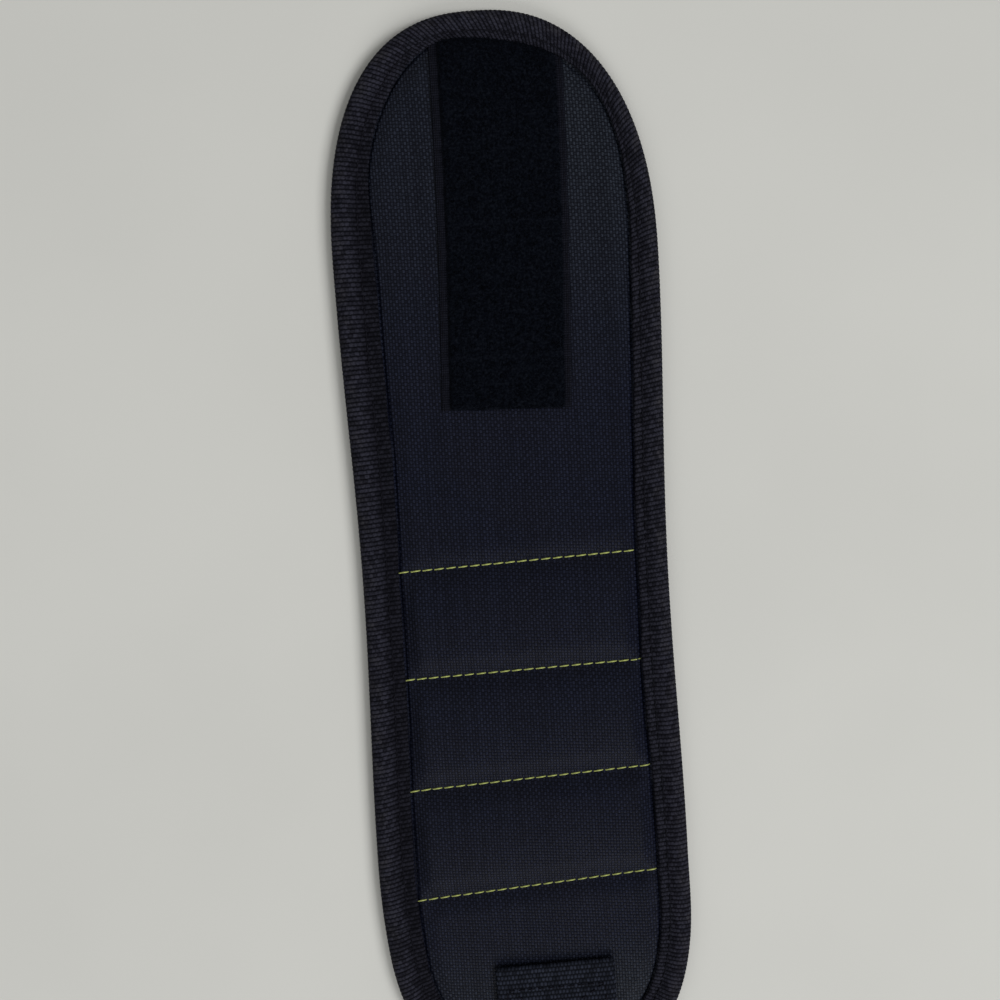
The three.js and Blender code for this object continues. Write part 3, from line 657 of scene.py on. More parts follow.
def makeBindingFinish(p):
    # ribs run across the tape, each a row of beads half a bead on from the last; the folded edge is rubbed
    # paler and carries a painted highlight, and painted shade darkens the flat inner part on the left
    f = Finish("grosgrain", p)
    rib = f.wave(f.v, p["rib"])
    row, along = f.staggered(p["rib"], p["bead"])
    bead = f.wave(along, 1.0, p["beadRound"])
    chance = f.chance(row, f.calc("FLOOR", along), *p["uneven"])
    beaded = f.calc("MULTIPLY_ADD", bead, p["beadShare"], 1 - p["beadShare"])
    value = f.times(rib, chance, beaded, f.mottle(*p["spots"]))
    # the folded edge: rubbed paler in patches, with a painted highlight on it
    away = f.calc("ABSOLUTE", f.calc("SUBTRACT", f.u, p["wearAndHighlightAt"]))
    patch = f.mottle(*p["wearAndHighlightPatches"])
    rubbedHighlight = f.times(f.ramp(away, *p["wearAndHighlightReach"]), patch, value, p["wearAndHighlightShare"])
    # painted shade on the flat inner part, on the left side only
    left = f.calc("MAXIMUM", f.ramp(f.v, *p["leftTip"]), f.ramp(f.v, *p["leftEnd"]))
    shade = f.times(f.ramp(f.u, *p["flap"]), left)
    shaded = f.blend(shade, f.blend(value, p["dark"], p["bright"]), p["dark"])
    return f.paint(f.blend(rubbedHighlight, shaded, p["paintedSheen"]), f.calc("MULTIPLY_ADD", bead, p["beadShare"], rib))


plyFinish = {"ply": 0.5, "turn": 0.8, "plyRound": 0.8, "spots": (9.0, 3.0, 0.75, 1.0), "bump": (0.04, 0.5)}
limeFinish = {**plyFinish, "rough": 0.5, "specular": 0.25,
              "dark": (0.16, 0.18, 0.050), "bright": (0.45, 0.50, 0.155)}
darkFinish = {**plyFinish, "rough": 0.8, "specular": 0.03,
              "dark": (0.0016, 0.0016, 0.0023), "bright": (0.0105, 0.0105, 0.0150)}


def makeThreadFinish(name, p):
    # plied thread: pale along the top of each ply, darker where the plies meet
    f = Finish(name, p)
    ply = f.wave(f.calc("SUBTRACT", f.v, f.times(f.u, p["turn"])), p["ply"], p["plyRound"])
    value = f.times(ply, f.mottle(*p["spots"]))
    return f.paint(f.blend(value, p["dark"], p["bright"]), ply)


pileFinish = {"rough": 0.95, "specular": 0.05, "bump": (0.12, 0.6), "fuzz": (3.0, 4.0),
              "tufts": (1.6, 4.0, 0.0, 1.0, (0.35, 0.75)),
              "dark": (0.0012, 0.0017, 0.0035), "bright": (0.0051, 0.0064, 0.0100)}


def makePileFinish(p):
    # matt black loops, a little paler here and there
    f = Finish("loopPile", p)
    return f.paint(f.blend(f.mottle(*p["tufts"]), p["dark"], p["bright"]), f.cloud(*p["fuzz"]))


selvedgeFinish = {"rough": 0.85, "specular": 0.06, "bump": (0.1, 0.7), "cord": 0.5, "cordRound": 0.6,
                  "crossing": 0.62, "crossingRound": 0.8, "spots": (0.5, 3.0, 0.6, 1.1),
                  "dark": (0.0015, 0.0017, 0.0032), "bright": (0.0098, 0.0106, 0.0170)}


def makeSelvedgeFinish(p):
    # flat woven edge of the loop tape: cords lengthwise, bound by close crossings
    f = Finish("tapeSelvedge", p)
    weave = f.times(f.wave(f.v, p["crossing"], p["crossingRound"]), f.wave(f.u, p["cord"], p["cordRound"]))
    value = f.times(weave, f.mottle(*p["spots"]))
    return f.paint(f.blend(value, p["dark"], p["bright"]), weave)


webbingFinish = {"rough": 0.8, "specular": 0.06, "bump": (0.08, 0.7), "row": 1.3, "rowRound": 1.1,
                 "bead": 0.98, "beadRound": 0.9, "fine": 0.27, "fineRound": 0.8, "fineShare": 0.25,
                 "uneven": (1.0, 0.4), "spots": (2.6, 2.0, 0.5, 1.4),
                 "dark": (0.0012, 0.0015, 0.0026), "bright": (0.0210, 0.0245, 0.0380)}


def makeWebbingFinish(p):
    # rows of floats across the strap, offset by half a float from row to row, with fine ribs over them
    f = Finish("webbing", p)
    row, along = f.staggered(p["row"], p["bead"])
    bead = f.times(f.wave(f.v, p["row"], p["rowRound"]), f.wave(along, 1.0, p["beadRound"]))
    value = f.times(bead, f.chance(row, f.calc("FLOOR", along), *p["uneven"]), f.mottle(*p["spots"]))
    relief = f.calc("MULTIPLY_ADD", f.wave(f.u, p["fine"], p["fineRound"]), p["fineShare"], bead)
    return f.paint(f.blend(value, p["dark"], p["bright"]), relief)


liningFinish = {"rough": 0.9, "specular": 0.12, "sheen": 0.1, "bump": (0.35, 0.9), "row": 1.5, "eye": 1.75,
                "opening": (0.45, 0.7), "knit": 0.36, "knitRound": 0.8, "knitShare": 0.25,
                "hole": (0.0015, 0.0015, 0.0018), "dark": (0.0090, 0.0092, 0.0105),
                "bright": (0.0230, 0.0235, 0.0265)}


def makeLiningFinish(p):
    # knitted mesh: round openings on a staggered grid, with painted shade inside them, and fine knit ribs between them
    f = Finish("meshLining", p)
    along = f.staggered(p["row"], p["eye"])[1]
    hole = f.ramp(f.times(f.wave(f.v, p["row"]), f.wave(along, 1.0)), *p["opening"])
    knit = f.wave(f.calc("ADD", f.u, f.v), p["knit"], p["knitRound"])
    # painted shade in the openings
    colour = f.blend(hole, f.blend(knit, p["dark"], p["bright"]), p["hole"])
    return f.paint(colour, f.calc("SUBTRACT", f.times(knit, p["knitShare"]), hole))


hookFinish = {"rough": 0.45, "specular": 0.4, "patches": (0.9, 3.0),
              "dark": (0.004, 0.004, 0.005), "bright": (0.010, 0.010, 0.012)}


def makeHookFinish(p):
    # smooth nylon, a little uneven
    f = Finish("hookNylon", p)
    return f.paint(f.blend(f.mottle(*p["patches"]), p["dark"], p["bright"]))


foamFinish = {"rough": 0.95, "specular": 0.1, "bump": (0.3, 0.8), "cells": 1.1, "walls": (0.1, 0.6),
              "dark": (0.02, 0.02, 0.022), "bright": (0.075, 0.075, 0.08)}


def makeFoamFinish(p):
    # open cells of about a millimetre, with painted shade inside them
    f = Finish("padFoam", p)
    cells = f.add("ShaderNodeTexVoronoi")
    f.fill(cells.inputs["Vector"], f.place)
    f.fill(cells.inputs["Scale"], p["cells"])
    value = f.ramp(cells.outputs["Distance"], *p["walls"])
    return f.paint(f.blend(value, p["dark"], p["bright"]), value)


magnetFinish = {"metal": 1.0, "rough": 0.25, "specular": 0.5, "haze": (900.0, 5.0, 0.18, 0.38),
                "spots": (420.0, 4.0, 0.0, 1.0, (0.35, 0.75)),
                "plate": (0.56, 0.56, 0.57), "dull": (0.44, 0.44, 0.44)}


def makeMagnetFinish(p):
    # bright plating, hazy in places, with a few dull spots
    f = Finish("nickelPlate", p, ownMap=False)
    f.fill(f.shader.inputs["Roughness"], f.mottle(*p["haze"]))
    return f.paint(f.blend(f.mottle(*p["spots"]), p["plate"], p["dull"]))


clothMaterial = makeClothFinish(clothFinish)
bindingMaterial = makeBindingFinish(bindingFinish)
seamMaterial = makeThreadFinish("limeThread", limeFinish)
darkMaterial = makeThreadFinish("darkThread", darkFinish)
pileMaterial = makePileFinish(pileFinish)
selvedgeMaterial = makeSelvedgeFinish(selvedgeFinish)
webbingMaterial = makeWebbingFinish(webbingFinish)
liningMaterial = makeLiningFinish(liningFinish)
hookMaterial = makeHookFinish(hookFinish)
foamMaterial = makeFoamFinish(foamFinish)
magnetMaterial = makeMagnetFinish(magnetFinish)
print("finishes made")

# each ripple of the puckers is a wave across the band: its share, length, phase and slant
clothPlan = {"thick": 0.6, "inset": 3.0, "step": 0.8, "tipStep": 0.4, "edgeTop": 2.66, "panelTop": 3.6,
             "rowTop": 3.75, "arch": 1.25, "overMagnet": 0.15, "magnetReach": 14.5, "magnetEase": 7.5,
             "seamTop": 2.3, "seamReach": 6.5, "seamRound": 2.2, "pucker": 0.15, "puckerReach": 3.0,
             "ripples": ((1.0, 1.02, 0.4, 0.0), (0.7, 1.47, 0.0, 0.15), (0.5, 2.6, 0.0, -0.1)),
             "waver": 0.07, "waverSize": 6.0, "waverSink": 0.2, "edgePucker": 0.07, "edgePuckerAt": 1.1,
             "edgePuckerReach": 2.5, "edgePuckerSize": 0.83, "edgePuckerDrift": 2.0, "edgePuckerDriftSize": 9.0,
             "crease": 0.6, "creaseAt": 0.25, "creaseWidth": 0.42}
gridPlan = {"margin": 0.05, "sideFrom": 0.7, "sideColumns": 41, "middleColumns": 62}


def clothTop(x, s):
    # the quilted front: it rises from each seam in a rounded pillow, arched from seam to seam where the
    # magnets are, falls into a crease beside the binding, and carries small puckers and a slow waver
    p = clothPlan
    gap, full = seamGap(x, s), fullness(x, s)
    rise = 1 - (1 - np.clip(gap / p["seamReach"], 0, 1)) ** p["seamRound"]
    toMagnet = np.min([np.hypot(x - mx, s - ms) for mx, ms in magnetPlaces], axis=0)
    swell = p["overMagnet"] * smooth((p["magnetReach"] - toMagnet) / p["magnetEase"])
    arch = p["arch"] * (1 - (1 - np.clip(gap / rowHalf, 0, 1)) ** 2)
    crown = np.where(onRows(x, s), p["rowTop"] + swell + arch, p["panelTop"])
    ripple = sum(share * np.cos(x / size + slant * s + phase) for share, size, phase, slant in p["ripples"])
    pucker = p["pucker"] * np.exp(-gap / p["puckerReach"]) * ripple * rise
    slow = p["waver"] * (waver(x, s, p["waverSize"], phase=0.7) - p["waverSink"]) * rise
    away = toBinding(x, s)
    besideEdge = p["edgePucker"] * np.exp(-np.abs(away - p["edgePuckerAt"]) / p["edgePuckerReach"])
    drift = np.sin(s / p["edgePuckerDriftSize"]) * p["edgePuckerDrift"]
    besideEdge = besideEdge * np.cos(s / p["edgePuckerSize"] + drift)
    crease = p["crease"] * np.exp(-((away - p["creaseAt"]) / p["creaseWidth"]) ** 2)
    height = mix(p["seamTop"], crown, rise) + pucker + slow
    return mix(p["edgeTop"], height, full) + besideEdge - crease


def bandGrid(start, end, inset, step):
    # places on a stretch of the band: rows along it, columns as shares of its half width, closer to the sides
    p = gridPlan
    start, end = max(start, inset + p["margin"]), min(end, bandPlan["length"] - inset - p["margin"])
    s = np.linspace(start, end, int(np.ceil((end - start) / step)) + 1)[:, None]
    side = np.linspace(1.0, p["sideFrom"], p["sideColumns"])
    middle = np.linspace(-p["sideFrom"], p["sideFrom"], p["middleColumns"])[1:-1]
    x = np.concatenate((-side, middle, side[::-1]))[None, :] * halfAt(s, inset)
    return np.broadcast_arrays(x, s)


def makeCloth():
    # one sheet for each fold, finer round the tip
    p = clothPlan
    for k, bend in enumerate(bends):
        x, s = bandGrid(bend["start"], bend["end"], p["inset"], p["step"] if k else p["tipStep"])
        top = clothTop(x, s)
        part = slab(lay(x, s, top), lay(x, s, top - p["thick"]), (x, s))
        replaced = ["cloth_" + panel for panel in bend["panels"]]
        piece = makePiece(f"frontCloth_{k + 1}", [part], [clothMaterial], "cloth", replaced)
        bendPiece(piece, bend)
        size = (float(np.ptp(x)) * mm, float(np.ptp(s)) * mm)
        area = float(np.trapz(2 * np.abs(x[:, 0]), s[:, 0])) * mm ** 2
        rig.sheet(piece, flat=size, held="stretched", rests_on=[f"backLining_{k + 1}"], area=area)


makeCloth()
print("front cloth made")

liningPlan = {"inset": 1.5, "step": 1.2, "edgeUnder": 0.95, "edgeOver": 1.45, "rowOver": 1.55,
              "panelOver": 2.75, "pinch": 0.55, "pinchReach": 5.0, "ledge": 1.7, "slope": 3.8,
              "waver": 0.06, "waverSize": 5.0}


def liningUnder(x, s):
    # the wrist side: flat on the table, drawn up in a groove at each seam and lifted to the binding at the edge
    p = liningPlan
    groove = p["pinch"] * (1 - np.clip(seamGap(x, s) / p["pinchReach"], 0, 1)) ** 2
    soft = p["waver"] * (1 + waver(x, s, p["waverSize"], phase=1.9))
    return mix(p["edgeUnder"], groove + soft, fullness(x, s))


def makeLining():
    # one padded piece for each fold: its top falls from the panels to a ledge at the seams and to the edge
    p = liningPlan
    for k, bend in enumerate(bends):
        x, s = bandGrid(bend["start"], bend["end"], p["inset"], p["step"])
        away = smooth((seamGap(x, s) - p["ledge"]) / p["slope"])
        over = mix(p["rowOver"], np.where(onRows(x, s), p["rowOver"], p["panelOver"]), away)
        over = mix(p["edgeOver"], over, fullness(x, s))
        part = slab(lay(x, s, over), lay(x, s, liningUnder(x, s)), (x, s))
        replaced = ["lining_" + panel for panel in bend["panels"]]
        piece = makePiece(f"backLining_{k + 1}", [part], [liningMaterial], "lining", replaced)
        bendPiece(piece, bend)
        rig.padded(piece, fill=0.4)


makeLining()
print("lining made")

# the binding's section from its lower inner edge round the nose to its upper one: inset from the edge, height
bindingPlan = {"width": 9.4, "thick": 0.62, "ribPitch": 1.2, "ribDepth": 0.15, "ribRound": 0.7, "perRib": 5,
               "drawPower": 1.6, "wander": 0.16, "wanderSizes": (11.0, 4.7), "wanderFrom": 4.0,
               "bulge": 0.05, "bulgeSizes": (7.0, 2.1), "bulgeAbove": 1.5, "sharp": 80.0,
               "stitchInset": 6.5, "stitch": 2.3, "stitchPitch": 2.9, "stitchRadius": 0.2,
               "stitchLift": 0.04, "stitchSink": 0.3, "stitchFaces": ((1.0, 3.40), (-1.0, 0.28)),
               "section": ((9.40, 0.88), (9.35, 0.62), (9.00, 0.36), (8.30, 0.24), (7.40, 0.24), (6.50, 0.32),
                           (5.60, 0.14), (4.60, 0.03), (3.20, 0.00), (2.00, 0.03), (1.15, 0.18), (0.50, 0.60),
                           (0.12, 1.30), (0.00, 2.10), (0.12, 2.90), (0.50, 3.62), (1.15, 4.10), (2.00, 4.36),
                           (3.10, 4.42), (4.20, 4.28), (5.20, 3.92), (6.00, 3.52), (6.60, 3.36), (7.40, 3.44),
                           (8.30, 3.54), (9.00, 3.50), (9.36, 3.26), (9.40, 2.80))}


def sectionLine():
    # the section's line, its outward normals, and the distance along it
    line = np.array(bindingPlan["section"])
    step = np.gradient(line, axis=0)
    step /= np.linalg.norm(step, axis=1, keepdims=True)
    normal = np.stack((-step[:, 1], step[:, 0]), axis=-1)
    run = np.concatenate(([0.0], np.cumsum(np.linalg.norm(np.diff(line, axis=0), axis=1))))
    return line, normal, run


def drawn(inset, place):
    # an inset of the section where the binding has another width: the difference comes in by a power of it
    p = bindingPlan
    share = np.clip(inset / p["width"], 0, None) ** p["drawPower"]
    return inset + (np.interp(place, *edgeWidths) - p["width"]) * share


def bindingPart(first, last):
    # the section carried along the edge and drawn out or in to its width there; ribs lie across the tape as
    # rounded ridges that lean, most of all round the tip, and the tape wanders a little
    p = bindingPlan
    run = np.linspace(first, last, int(abs(last - first) / p["ribPitch"] * p["perRib"]) + 1)[:, None]
    line, normal, across = sectionLine()
    x, s, outX, outS, place = edgeAt(run)
    slow, quick = p["wanderSizes"]
    wander = p["wander"] * np.sin(run / slow) * np.sin(run / quick + 1.0)
    ribPlace = run - np.interp(place, *edgeLeans) * (across - across.mean())
    rib = p["ribDepth"] * (ridges(ribPlace, p["ribPitch"], p["ribRound"]) - 1)
    hump = np.sin(np.pi * np.clip(line[:, 0] / p["width"], 0, 1)) * (line[:, 1] > p["bulgeAbove"])
    slow, quick = p["bulgeSizes"]
    lift = rib + p["bulge"] * np.sin(run / quick + 2.0 * np.sin(run / slow)) * hump

    def skin(inset, height):
        inset = drawn(inset, place) + wander * smooth(inset / p["wanderFrom"])
        return lay(x - outX * inset, s - outS * inset, height)

    over = skin(line[:, 0] + normal[:, 0] * lift, np.maximum(line[:, 1] + normal[:, 1] * lift, 0.0))
    under = skin(line[:, 0] - normal[:, 0] * p["thick"], line[:, 1] - normal[:, 1] * p["thick"] + 0 * run)
    return slab(over, under, (across[None, :], ribPlace))


def bindingThread(first, last):
    # dark stitches along the binding, on both faces
    p = bindingPlan
    count = max(1, int(abs(last - first) / p["stitchPitch"]))
    middle = first + (np.arange(count) + 0.5) * (last - first) / count
    parts = []
    for up, height in p["stitchFaces"]:

        def endAt(away):
            x, s, outX, outS, place = edgeAt(middle + away * p["stitch"])
            inset = drawn(p["stitchInset"], place)
            return lay(x - outX * inset, s - outS * inset, height)

        parts.append(stitches(endAt, up, p["stitchRadius"], p["stitchLift"], p["stitchSink"], 1))
    return parts


def makeBinding():
    # one piece round each end of the band, and a left and a right one for each fold between them
    whole = edgeLine["run"][-1]
    for k, bend in enumerate(bends):
        start, end = (float(np.interp(bend[key], edgeLine["s"], edgeLine["run"])) for key in ("start", "end"))
        left, right = (f"binding_{bend['before']}_{side}" for side in ("left", "right"))
        if bend is bends[0]:
            spans = {"tip": (-end, end, ["binding_tip"])}
        elif bend is bends[-1]:
            spans = {"end": (start, 2 * whole - start, [left, right, "binding_strap_seat"])}
        else:
            spans = {f"{k + 1}_left": (-start, -end, [left]), f"{k + 1}_right": (start, end, [right])}
        for label, (first, last, replaced) in spans.items():
            parts = [bindingPart(first, last)] + bindingThread(first, last)
            materials = [bindingMaterial, darkMaterial]
            name, sharp = "edgeBinding_" + label, bindingPlan["sharp"]
            bendPiece(makePiece(name, parts, materials, "binding", replaced, sharp), bend)


makeBinding()
print("binding made")

tapePlan = {"half": 17.1, "under": 3.74, "edgeTop": 4.35, "tuck": 0.5, "tuckUnder": 2.62, "tuckSteps": 24,
            "end": 102.0, "endSlope": 0.03, "shiftUp": 4.9, "shiftLow": 0.5, "seed": 11, "sharp": 70.0}
weavePlan = {"steps": (0.21, 0.7), "rim": 0.15, "rimReach": 0.3, "groundTop": 4.25, "cord": 0.07,
             "cordPitch": 0.63, "cordReach": 1.9, "cutTop": 0.12, "cutReach": 0.7, "tuckReach": 0.9,
             "stitch": 1.9, "stitchPitch": 2.6, "stitchRadius": 0.11, "stitchInset": 0.8, "stitchDepth": 0.02,
             "stitchSink": 0.25, "stitchFrom": 1.6, "stitchTo": 1.0}
# loops are counted for each square millimetre, and the pairs give the spread of their sizes
pilePlan = {"left": -15.1, "right": 15.5, "steps": (0.55, 0.55), "top": 4.95, "low": (4.0, 4.2), "thick": 0.06,
            "lump": 0.16, "waver": 0.1, "waverSize": 3.0, "sideReach": 0.9, "endReach": 1.2, "startReach": 1.6,
            "startDrop": 0.2, "loops": 2.4, "width": 0.85, "widths": (0.7, 1.3), "height": 0.55,
            "heights": (0.6, 1.15), "heading": 0.75, "lean": 0.22, "footLow": 4.3, "footSink": 0.12,
            "radius": 0.065, "points": 6, "sides": 3, "fromSide": 0.15, "fromStart": 0.5, "pastCut": 0.15,
            "beforeFold": 0.3}


def tapeMiddle(s):
    # the tape is sewn on askew: its middle goes in a line from right to left
    return mix(tapePlan["shiftUp"], tapePlan["shiftLow"], s / tapePlan["end"])


def onTape(across, s, z):
    # points from places across the tape; towards its upper end it sinks with the cloth to go under the binding
    x = across + tapeMiddle(s)
    return lay(x, s, z - (tapePlan["under"] - tapePlan["tuckUnder"]) * (1 - fullness(x, s)))


def tapeEnds(across, start, end):
    # where a stretch of the tape begins and ends at each place across: its upper end lies just under the
    # binding's inner edge, found by steps towards it
    p = tapePlan
    first = start + 0 * across
    if start == 0:
        for _ in range(p["tuckSteps"]):
            first = first - 0.7 * (toBinding(across + tapeMiddle(first), first) + p["tuck"])
    last = p["end"] + p["endSlope"] * across if end > p["end"] else end + 0 * across
    return first, last


def tapeGrid(start, end, left, right, steps):
    # places on a stretch of the tape with its two ends: columns across it, rows from end to end
    across = np.linspace(left, right, int(np.ceil((right - left) / steps[0])) + 1)[None, :]
    first, last = tapeEnds(across, start, end)
    rows = int(np.ceil((last - first).max() / steps[1])) + 1
    return np.broadcast_arrays(across, mix(first, last, np.linspace(0, 1, rows)[:, None]), first, last)


def tapeWeave(start, end):
    # the woven ground: flat, with low lengthwise cords in each selvedge, its cut ends pressed down
    p, half, under = weavePlan, tapePlan["half"], tapePlan["under"]
    across, s, first, last = tapeGrid(start, end, -half, half, p["steps"])
    toRim = half - np.abs(across)
    cord = p["cord"] * ridges(toRim, p["cordPitch"], 1.0) * (toRim < p["cordReach"])
    top = mix(under + p["rim"], p["groundTop"] + cord, smooth(toRim / p["rimReach"]))
    if end > tapePlan["end"]:
        top = mix(under + p["cutTop"], top, smooth((last - s) / p["cutReach"]))
    if start == 0:
        top = mix(under + p["cutTop"], top, smooth((s - first) / p["tuckReach"]))
    return slab(onTape(across, s, top), onTape(across, s, under), (across, s), 1)


def tapePile(start, end, draw):
    # the pile: an uneven mat with tufts, and over it small arched loops that lean every way, most of them
    # crosswise; both sink at the sides and at the tape's ends
    p = pilePlan
    left, right, cut = p["left"], p["right"], end > tapePlan["end"]

    def inside(across, s, last):
        aside = smooth(np.minimum(across - left, right - across) / p["sideReach"])
        return aside * (smooth((last - s) / p["endReach"]) if cut else 1.0)

    across, s, first, last = tapeGrid(start, end, left, right, p["steps"])
    begun = smooth((s - first) / p["startReach"]) if start == 0 else 1.0
    lump = p["lump"] * draw.normal(size=s.shape)
    lump[[0, -1]] = 0.0
    full = inside(across, s, last)
    low = mix(*p["low"], full) - p["startDrop"] * (1 - begun)
    slow = p["waver"] * waver(across, s, p["waverSize"], phase=0.3)
    top = mix(low, p["top"] + lump + slow, full * begun)
    mat = slab(onTape(across, s, top), onTape(across, s, low - p["thick"]), (across, s))
    count = int(p["loops"] * (right - left) * (last - first).mean())
    px = draw.uniform(left + p["fromSide"], right - p["fromSide"], count)
    first, last = tapeEnds(px, start, end)
    past = p["pastCut"] if cut else -p["beforeFold"]
    ps = mix(first + p["fromStart"], last + past, draw.uniform(size=count))
    heading = draw.normal(0.0, p["heading"], count)
    width = p["width"] * draw.uniform(*p["widths"], count)
    height = p["height"] * draw.uniform(*p["heights"], count)
    lean = draw.normal(0.0, p["lean"], count)[:, None]
    t = np.linspace(0, np.pi, p["points"])
    out, up = -np.cos(t) * width[:, None] / 2, np.sin(t) * height[:, None]
    goX, goS = np.cos(heading)[:, None], np.sin(heading)[:, None]
    foot = mix(p["footLow"], p["top"] - p["footSink"], inside(px, ps, last)[:, None])
    paths = onTape(px[:, None] + out * goX - lean * up * goS,
                   ps[:, None] + out * goS + lean * up * goX, foot + up)
    sideways = np.stack((goS[:, 0], goX[:, 0], 0 * heading), axis=-1)
    loops = threads(paths, sideways, p["radius"], p["sides"])
    loops["uv"] = np.repeat(np.stack((px, ps), axis=-1), p["points"] * p["sides"], axis=0)
    return [mat, loops]


def tapeThread(start, end):
    # dark stitches down both selvedges
    p = weavePlan
    parts = []
    for side in (-1, 1):
        across = np.full(1, side * (tapePlan["half"] - p["stitchInset"]))
        first, last = (float(e[0]) for e in tapeEnds(across, start, end))
        places = np.arange(first + p["stitchFrom"], last - p["stitchTo"], p["stitchPitch"])

        def endAt(away):
            return onTape(across, places + away * p["stitch"], tapePlan["edgeTop"] - p["stitchDepth"])

        if len(places):
            parts.append(stitches(endAt, 1, p["stitchRadius"], 0.0, p["stitchSink"], 2))
    return parts


def makeTape():
    # one piece for each of the first three folds
    draw = np.random.default_rng(tapePlan["seed"])
    materials = [pileMaterial, selvedgeMaterial, darkMaterial]
    for k, bend in enumerate(bends[:3]):
        start, end = bend["start"], bend["end"]
        parts = [tapeWeave(start, end)] + tapePile(start, end, draw) + tapeThread(start, end)
        name, replaced = f"loopTape_{k + 1}", ["loop_tape_" + bend["before"]]
        bendPiece(makePiece(name, parts, materials, "loop_tape", replaced, tapePlan["sharp"]), bend)


makeTape()
print("loop tape made")

seamPlan = {"pitch": 3.17, "stitch": 2.76, "radius": 0.20, "slant": 0.17, "leftMargin": 9.6,
            "rightMargin": 8.8, "lift": 0.14, "sink": 0.42, "backShift": 0.317}


def seamOver(x, s):
    # the front at a seam, without the crease beside the binding
    return np.maximum(clothTop(x, s), clothPlan["seamTop"])


def makeSeamStitches():
    # rows of lockstitch on the front and, moved a little, on the back; each stitch is steeper than its row by
    # the slant
    p = seamPlan
    for k, (place, slope) in enumerate(zip(seamPlaces, seamSlopes)):
        half = float(halfAt(place))
        left, right = p["leftMargin"] - half, half - p["rightMargin"]
        count = round((right - left) / p["pitch"])
        middle = left + (np.arange(count) + 0.5) * (right - left) / count
        parts = []
        for up, heightAt, moved in ((1, seamOver, 0.0), (-1, liningUnder, p["backShift"])):

            def endAt(away):
                x = middle + moved + away * p["stitch"]
                s = place - slope * x - away * p["slant"]
                return lay(x, s, heightAt(x, s))

            parts.append(stitches(endAt, up, p["radius"], p["lift"], p["sink"], form=pliedThread))
        replaced = [f"seam_thread_{k + 1}"]
        piece = makePiece(f"seamStitches_{k + 1}", parts, [seamMaterial], "seam_thread", replaced)
        bendPiece(piece, bends[3 + k])


makeSeamStitches()
print("seam stitches made")

# boxes of stitches: half width, start, end, slope of the start, and whether there is a cross in it; the closing
# is a single row
strapPlan = {"half": 16.4, "thick": 1.5, "start": 254.0, "slope": 0.033, "join": 278.0, "end": 336.0,
             "high": 4.88, "low": 2.38, "drop": 13.0, "shift": 3.7, "columns": 152, "row": 1.3, "perRow": 6,
             "bead": 0.98, "relief": 0.14, "floatRound": 0.8, "flatShare": 0.45, "sidePower": 22,
             "nose": 0.8, "cut": 0.5, "rim": 0.03, "narrow": 0.02, "narrowOver": 1.5, "sharp": 80.0,
             "sewnBox": (13.6, 260.5, 276.5, 0.033, True), "freeBox": (13.4, 302.2, 332.6, 0.0, False),
             "closing": ((-13.6, 281.0), (13.6, 281.0)),
             "stitch": 2.05, "stitchPitch": 2.7, "stitchRadius": 0.2, "stitchDepth": 0.03,
             "stitchLift": 0.05, "stitchSink": 0.4}


def strapMiddle(s):
    # height of the strap's middle: level on the band, then eased down to the table past the band's end
    p = strapPlan
    return mix(p["high"], p["low"], smooth((s - bandPlan["length"]) / p["drop"]))


def strapPart(start, end):
    # webbing: rows of raised floats across it on both faces, thin selvedges, a folded nose at the sewn end
    p = strapPlan
    x = np.linspace(-p["half"], p["half"], p["columns"])[None, :]
    first = (p["start"] - p["slope"] * x) if start <= p["start"] else start + 0 * x
    rows = int((end - start) / p["row"] * p["perRow"]) + 1
    x, s = np.broadcast_arrays(x, mix(first, end, np.linspace(0, 1, rows)[:, None]))
    run = s + p["slope"] * x
    row = np.floor(run / p["row"])
    bead = ridges(x / p["bead"] + 0.5 * row, 1.0, p["floatRound"])
    floats = ridges(run, p["row"], p["floatRound"]) * mix(p["flatShare"], 1.0, bead)
    side = np.sqrt(np.clip(1 - (np.abs(x) / p["half"]) ** p["sidePower"], 0.0, 1))
    if start <= p["start"]:
        side = side * rounded((s - first) / p["nose"])
    if end >= p["end"]:
        side = side * rounded((end - s) / p["cut"])
    wide = x * (1 - p["narrow"] * (1 - np.clip((run - p["start"]) / p["narrowOver"], 0, 1)) ** 2)
    thick = (p["thick"] / 2 + p["relief"] * (floats - 1)) * side + p["rim"]
    over, under = (lay(wide + p["shift"], s, strapMiddle(s) + sign * thick) for sign in (1, -1))
    return slab(over, under, (x, run))


def stitchLine(a, b):
    # dark stitches from place a to place b on the strap's top
    p = strapPlan
    a, b = np.array(a), np.array(b)
    length = np.linalg.norm(b - a)
    count = max(1, int(length / p["stitchPitch"]))
    middle = a + (b - a) * ((np.arange(count) + 0.5) / count)[:, None]

    def endAt(away):
        x, s = (middle + (b - a) / length * away * p["stitch"]).T
        return lay(x + p["shift"], s, strapMiddle(s) + p["thick"] / 2 - p["stitchDepth"])

    return stitches(endAt, 1, p["stitchRadius"], p["stitchLift"], p["stitchSink"], 1)


def boxStitch(half, start, end, slope, crossed):
    # a sewn rectangle, with a cross in it where the strap is fixed to the band
    a, b, c, d = (-half, start + slope * half), (half, start - slope * half), (half, end), (-half, end)
    lines = [(a, b), (b, c), (c, d), (d, a)] + ([(a, c), (b, d)] if crossed else [])
    return [stitchLine(*line) for line in lines]


def makeStrap():
    # the sewn end on the band, and the free end with the row that closes its fold
    p = strapPlan
    materials = [webbingMaterial, darkMaterial]
    sewn = [strapPart(p["start"], p["join"])] + boxStitch(*p["sewnBox"])
    free = [strapPart(p["join"], p["end"])] + boxStitch(*p["freeBox"]) + [stitchLine(*p["closing"])]
    bendPiece(makePiece("strapSewn", sewn, materials, "strap", ["strap_base"], p["sharp"]), bends[-1])
    bendPiece(makePiece("strapFree", free, materials, "strap", ["strap_free"], p["sharp"]), strapBend)


makeStrap()
print("strap made")

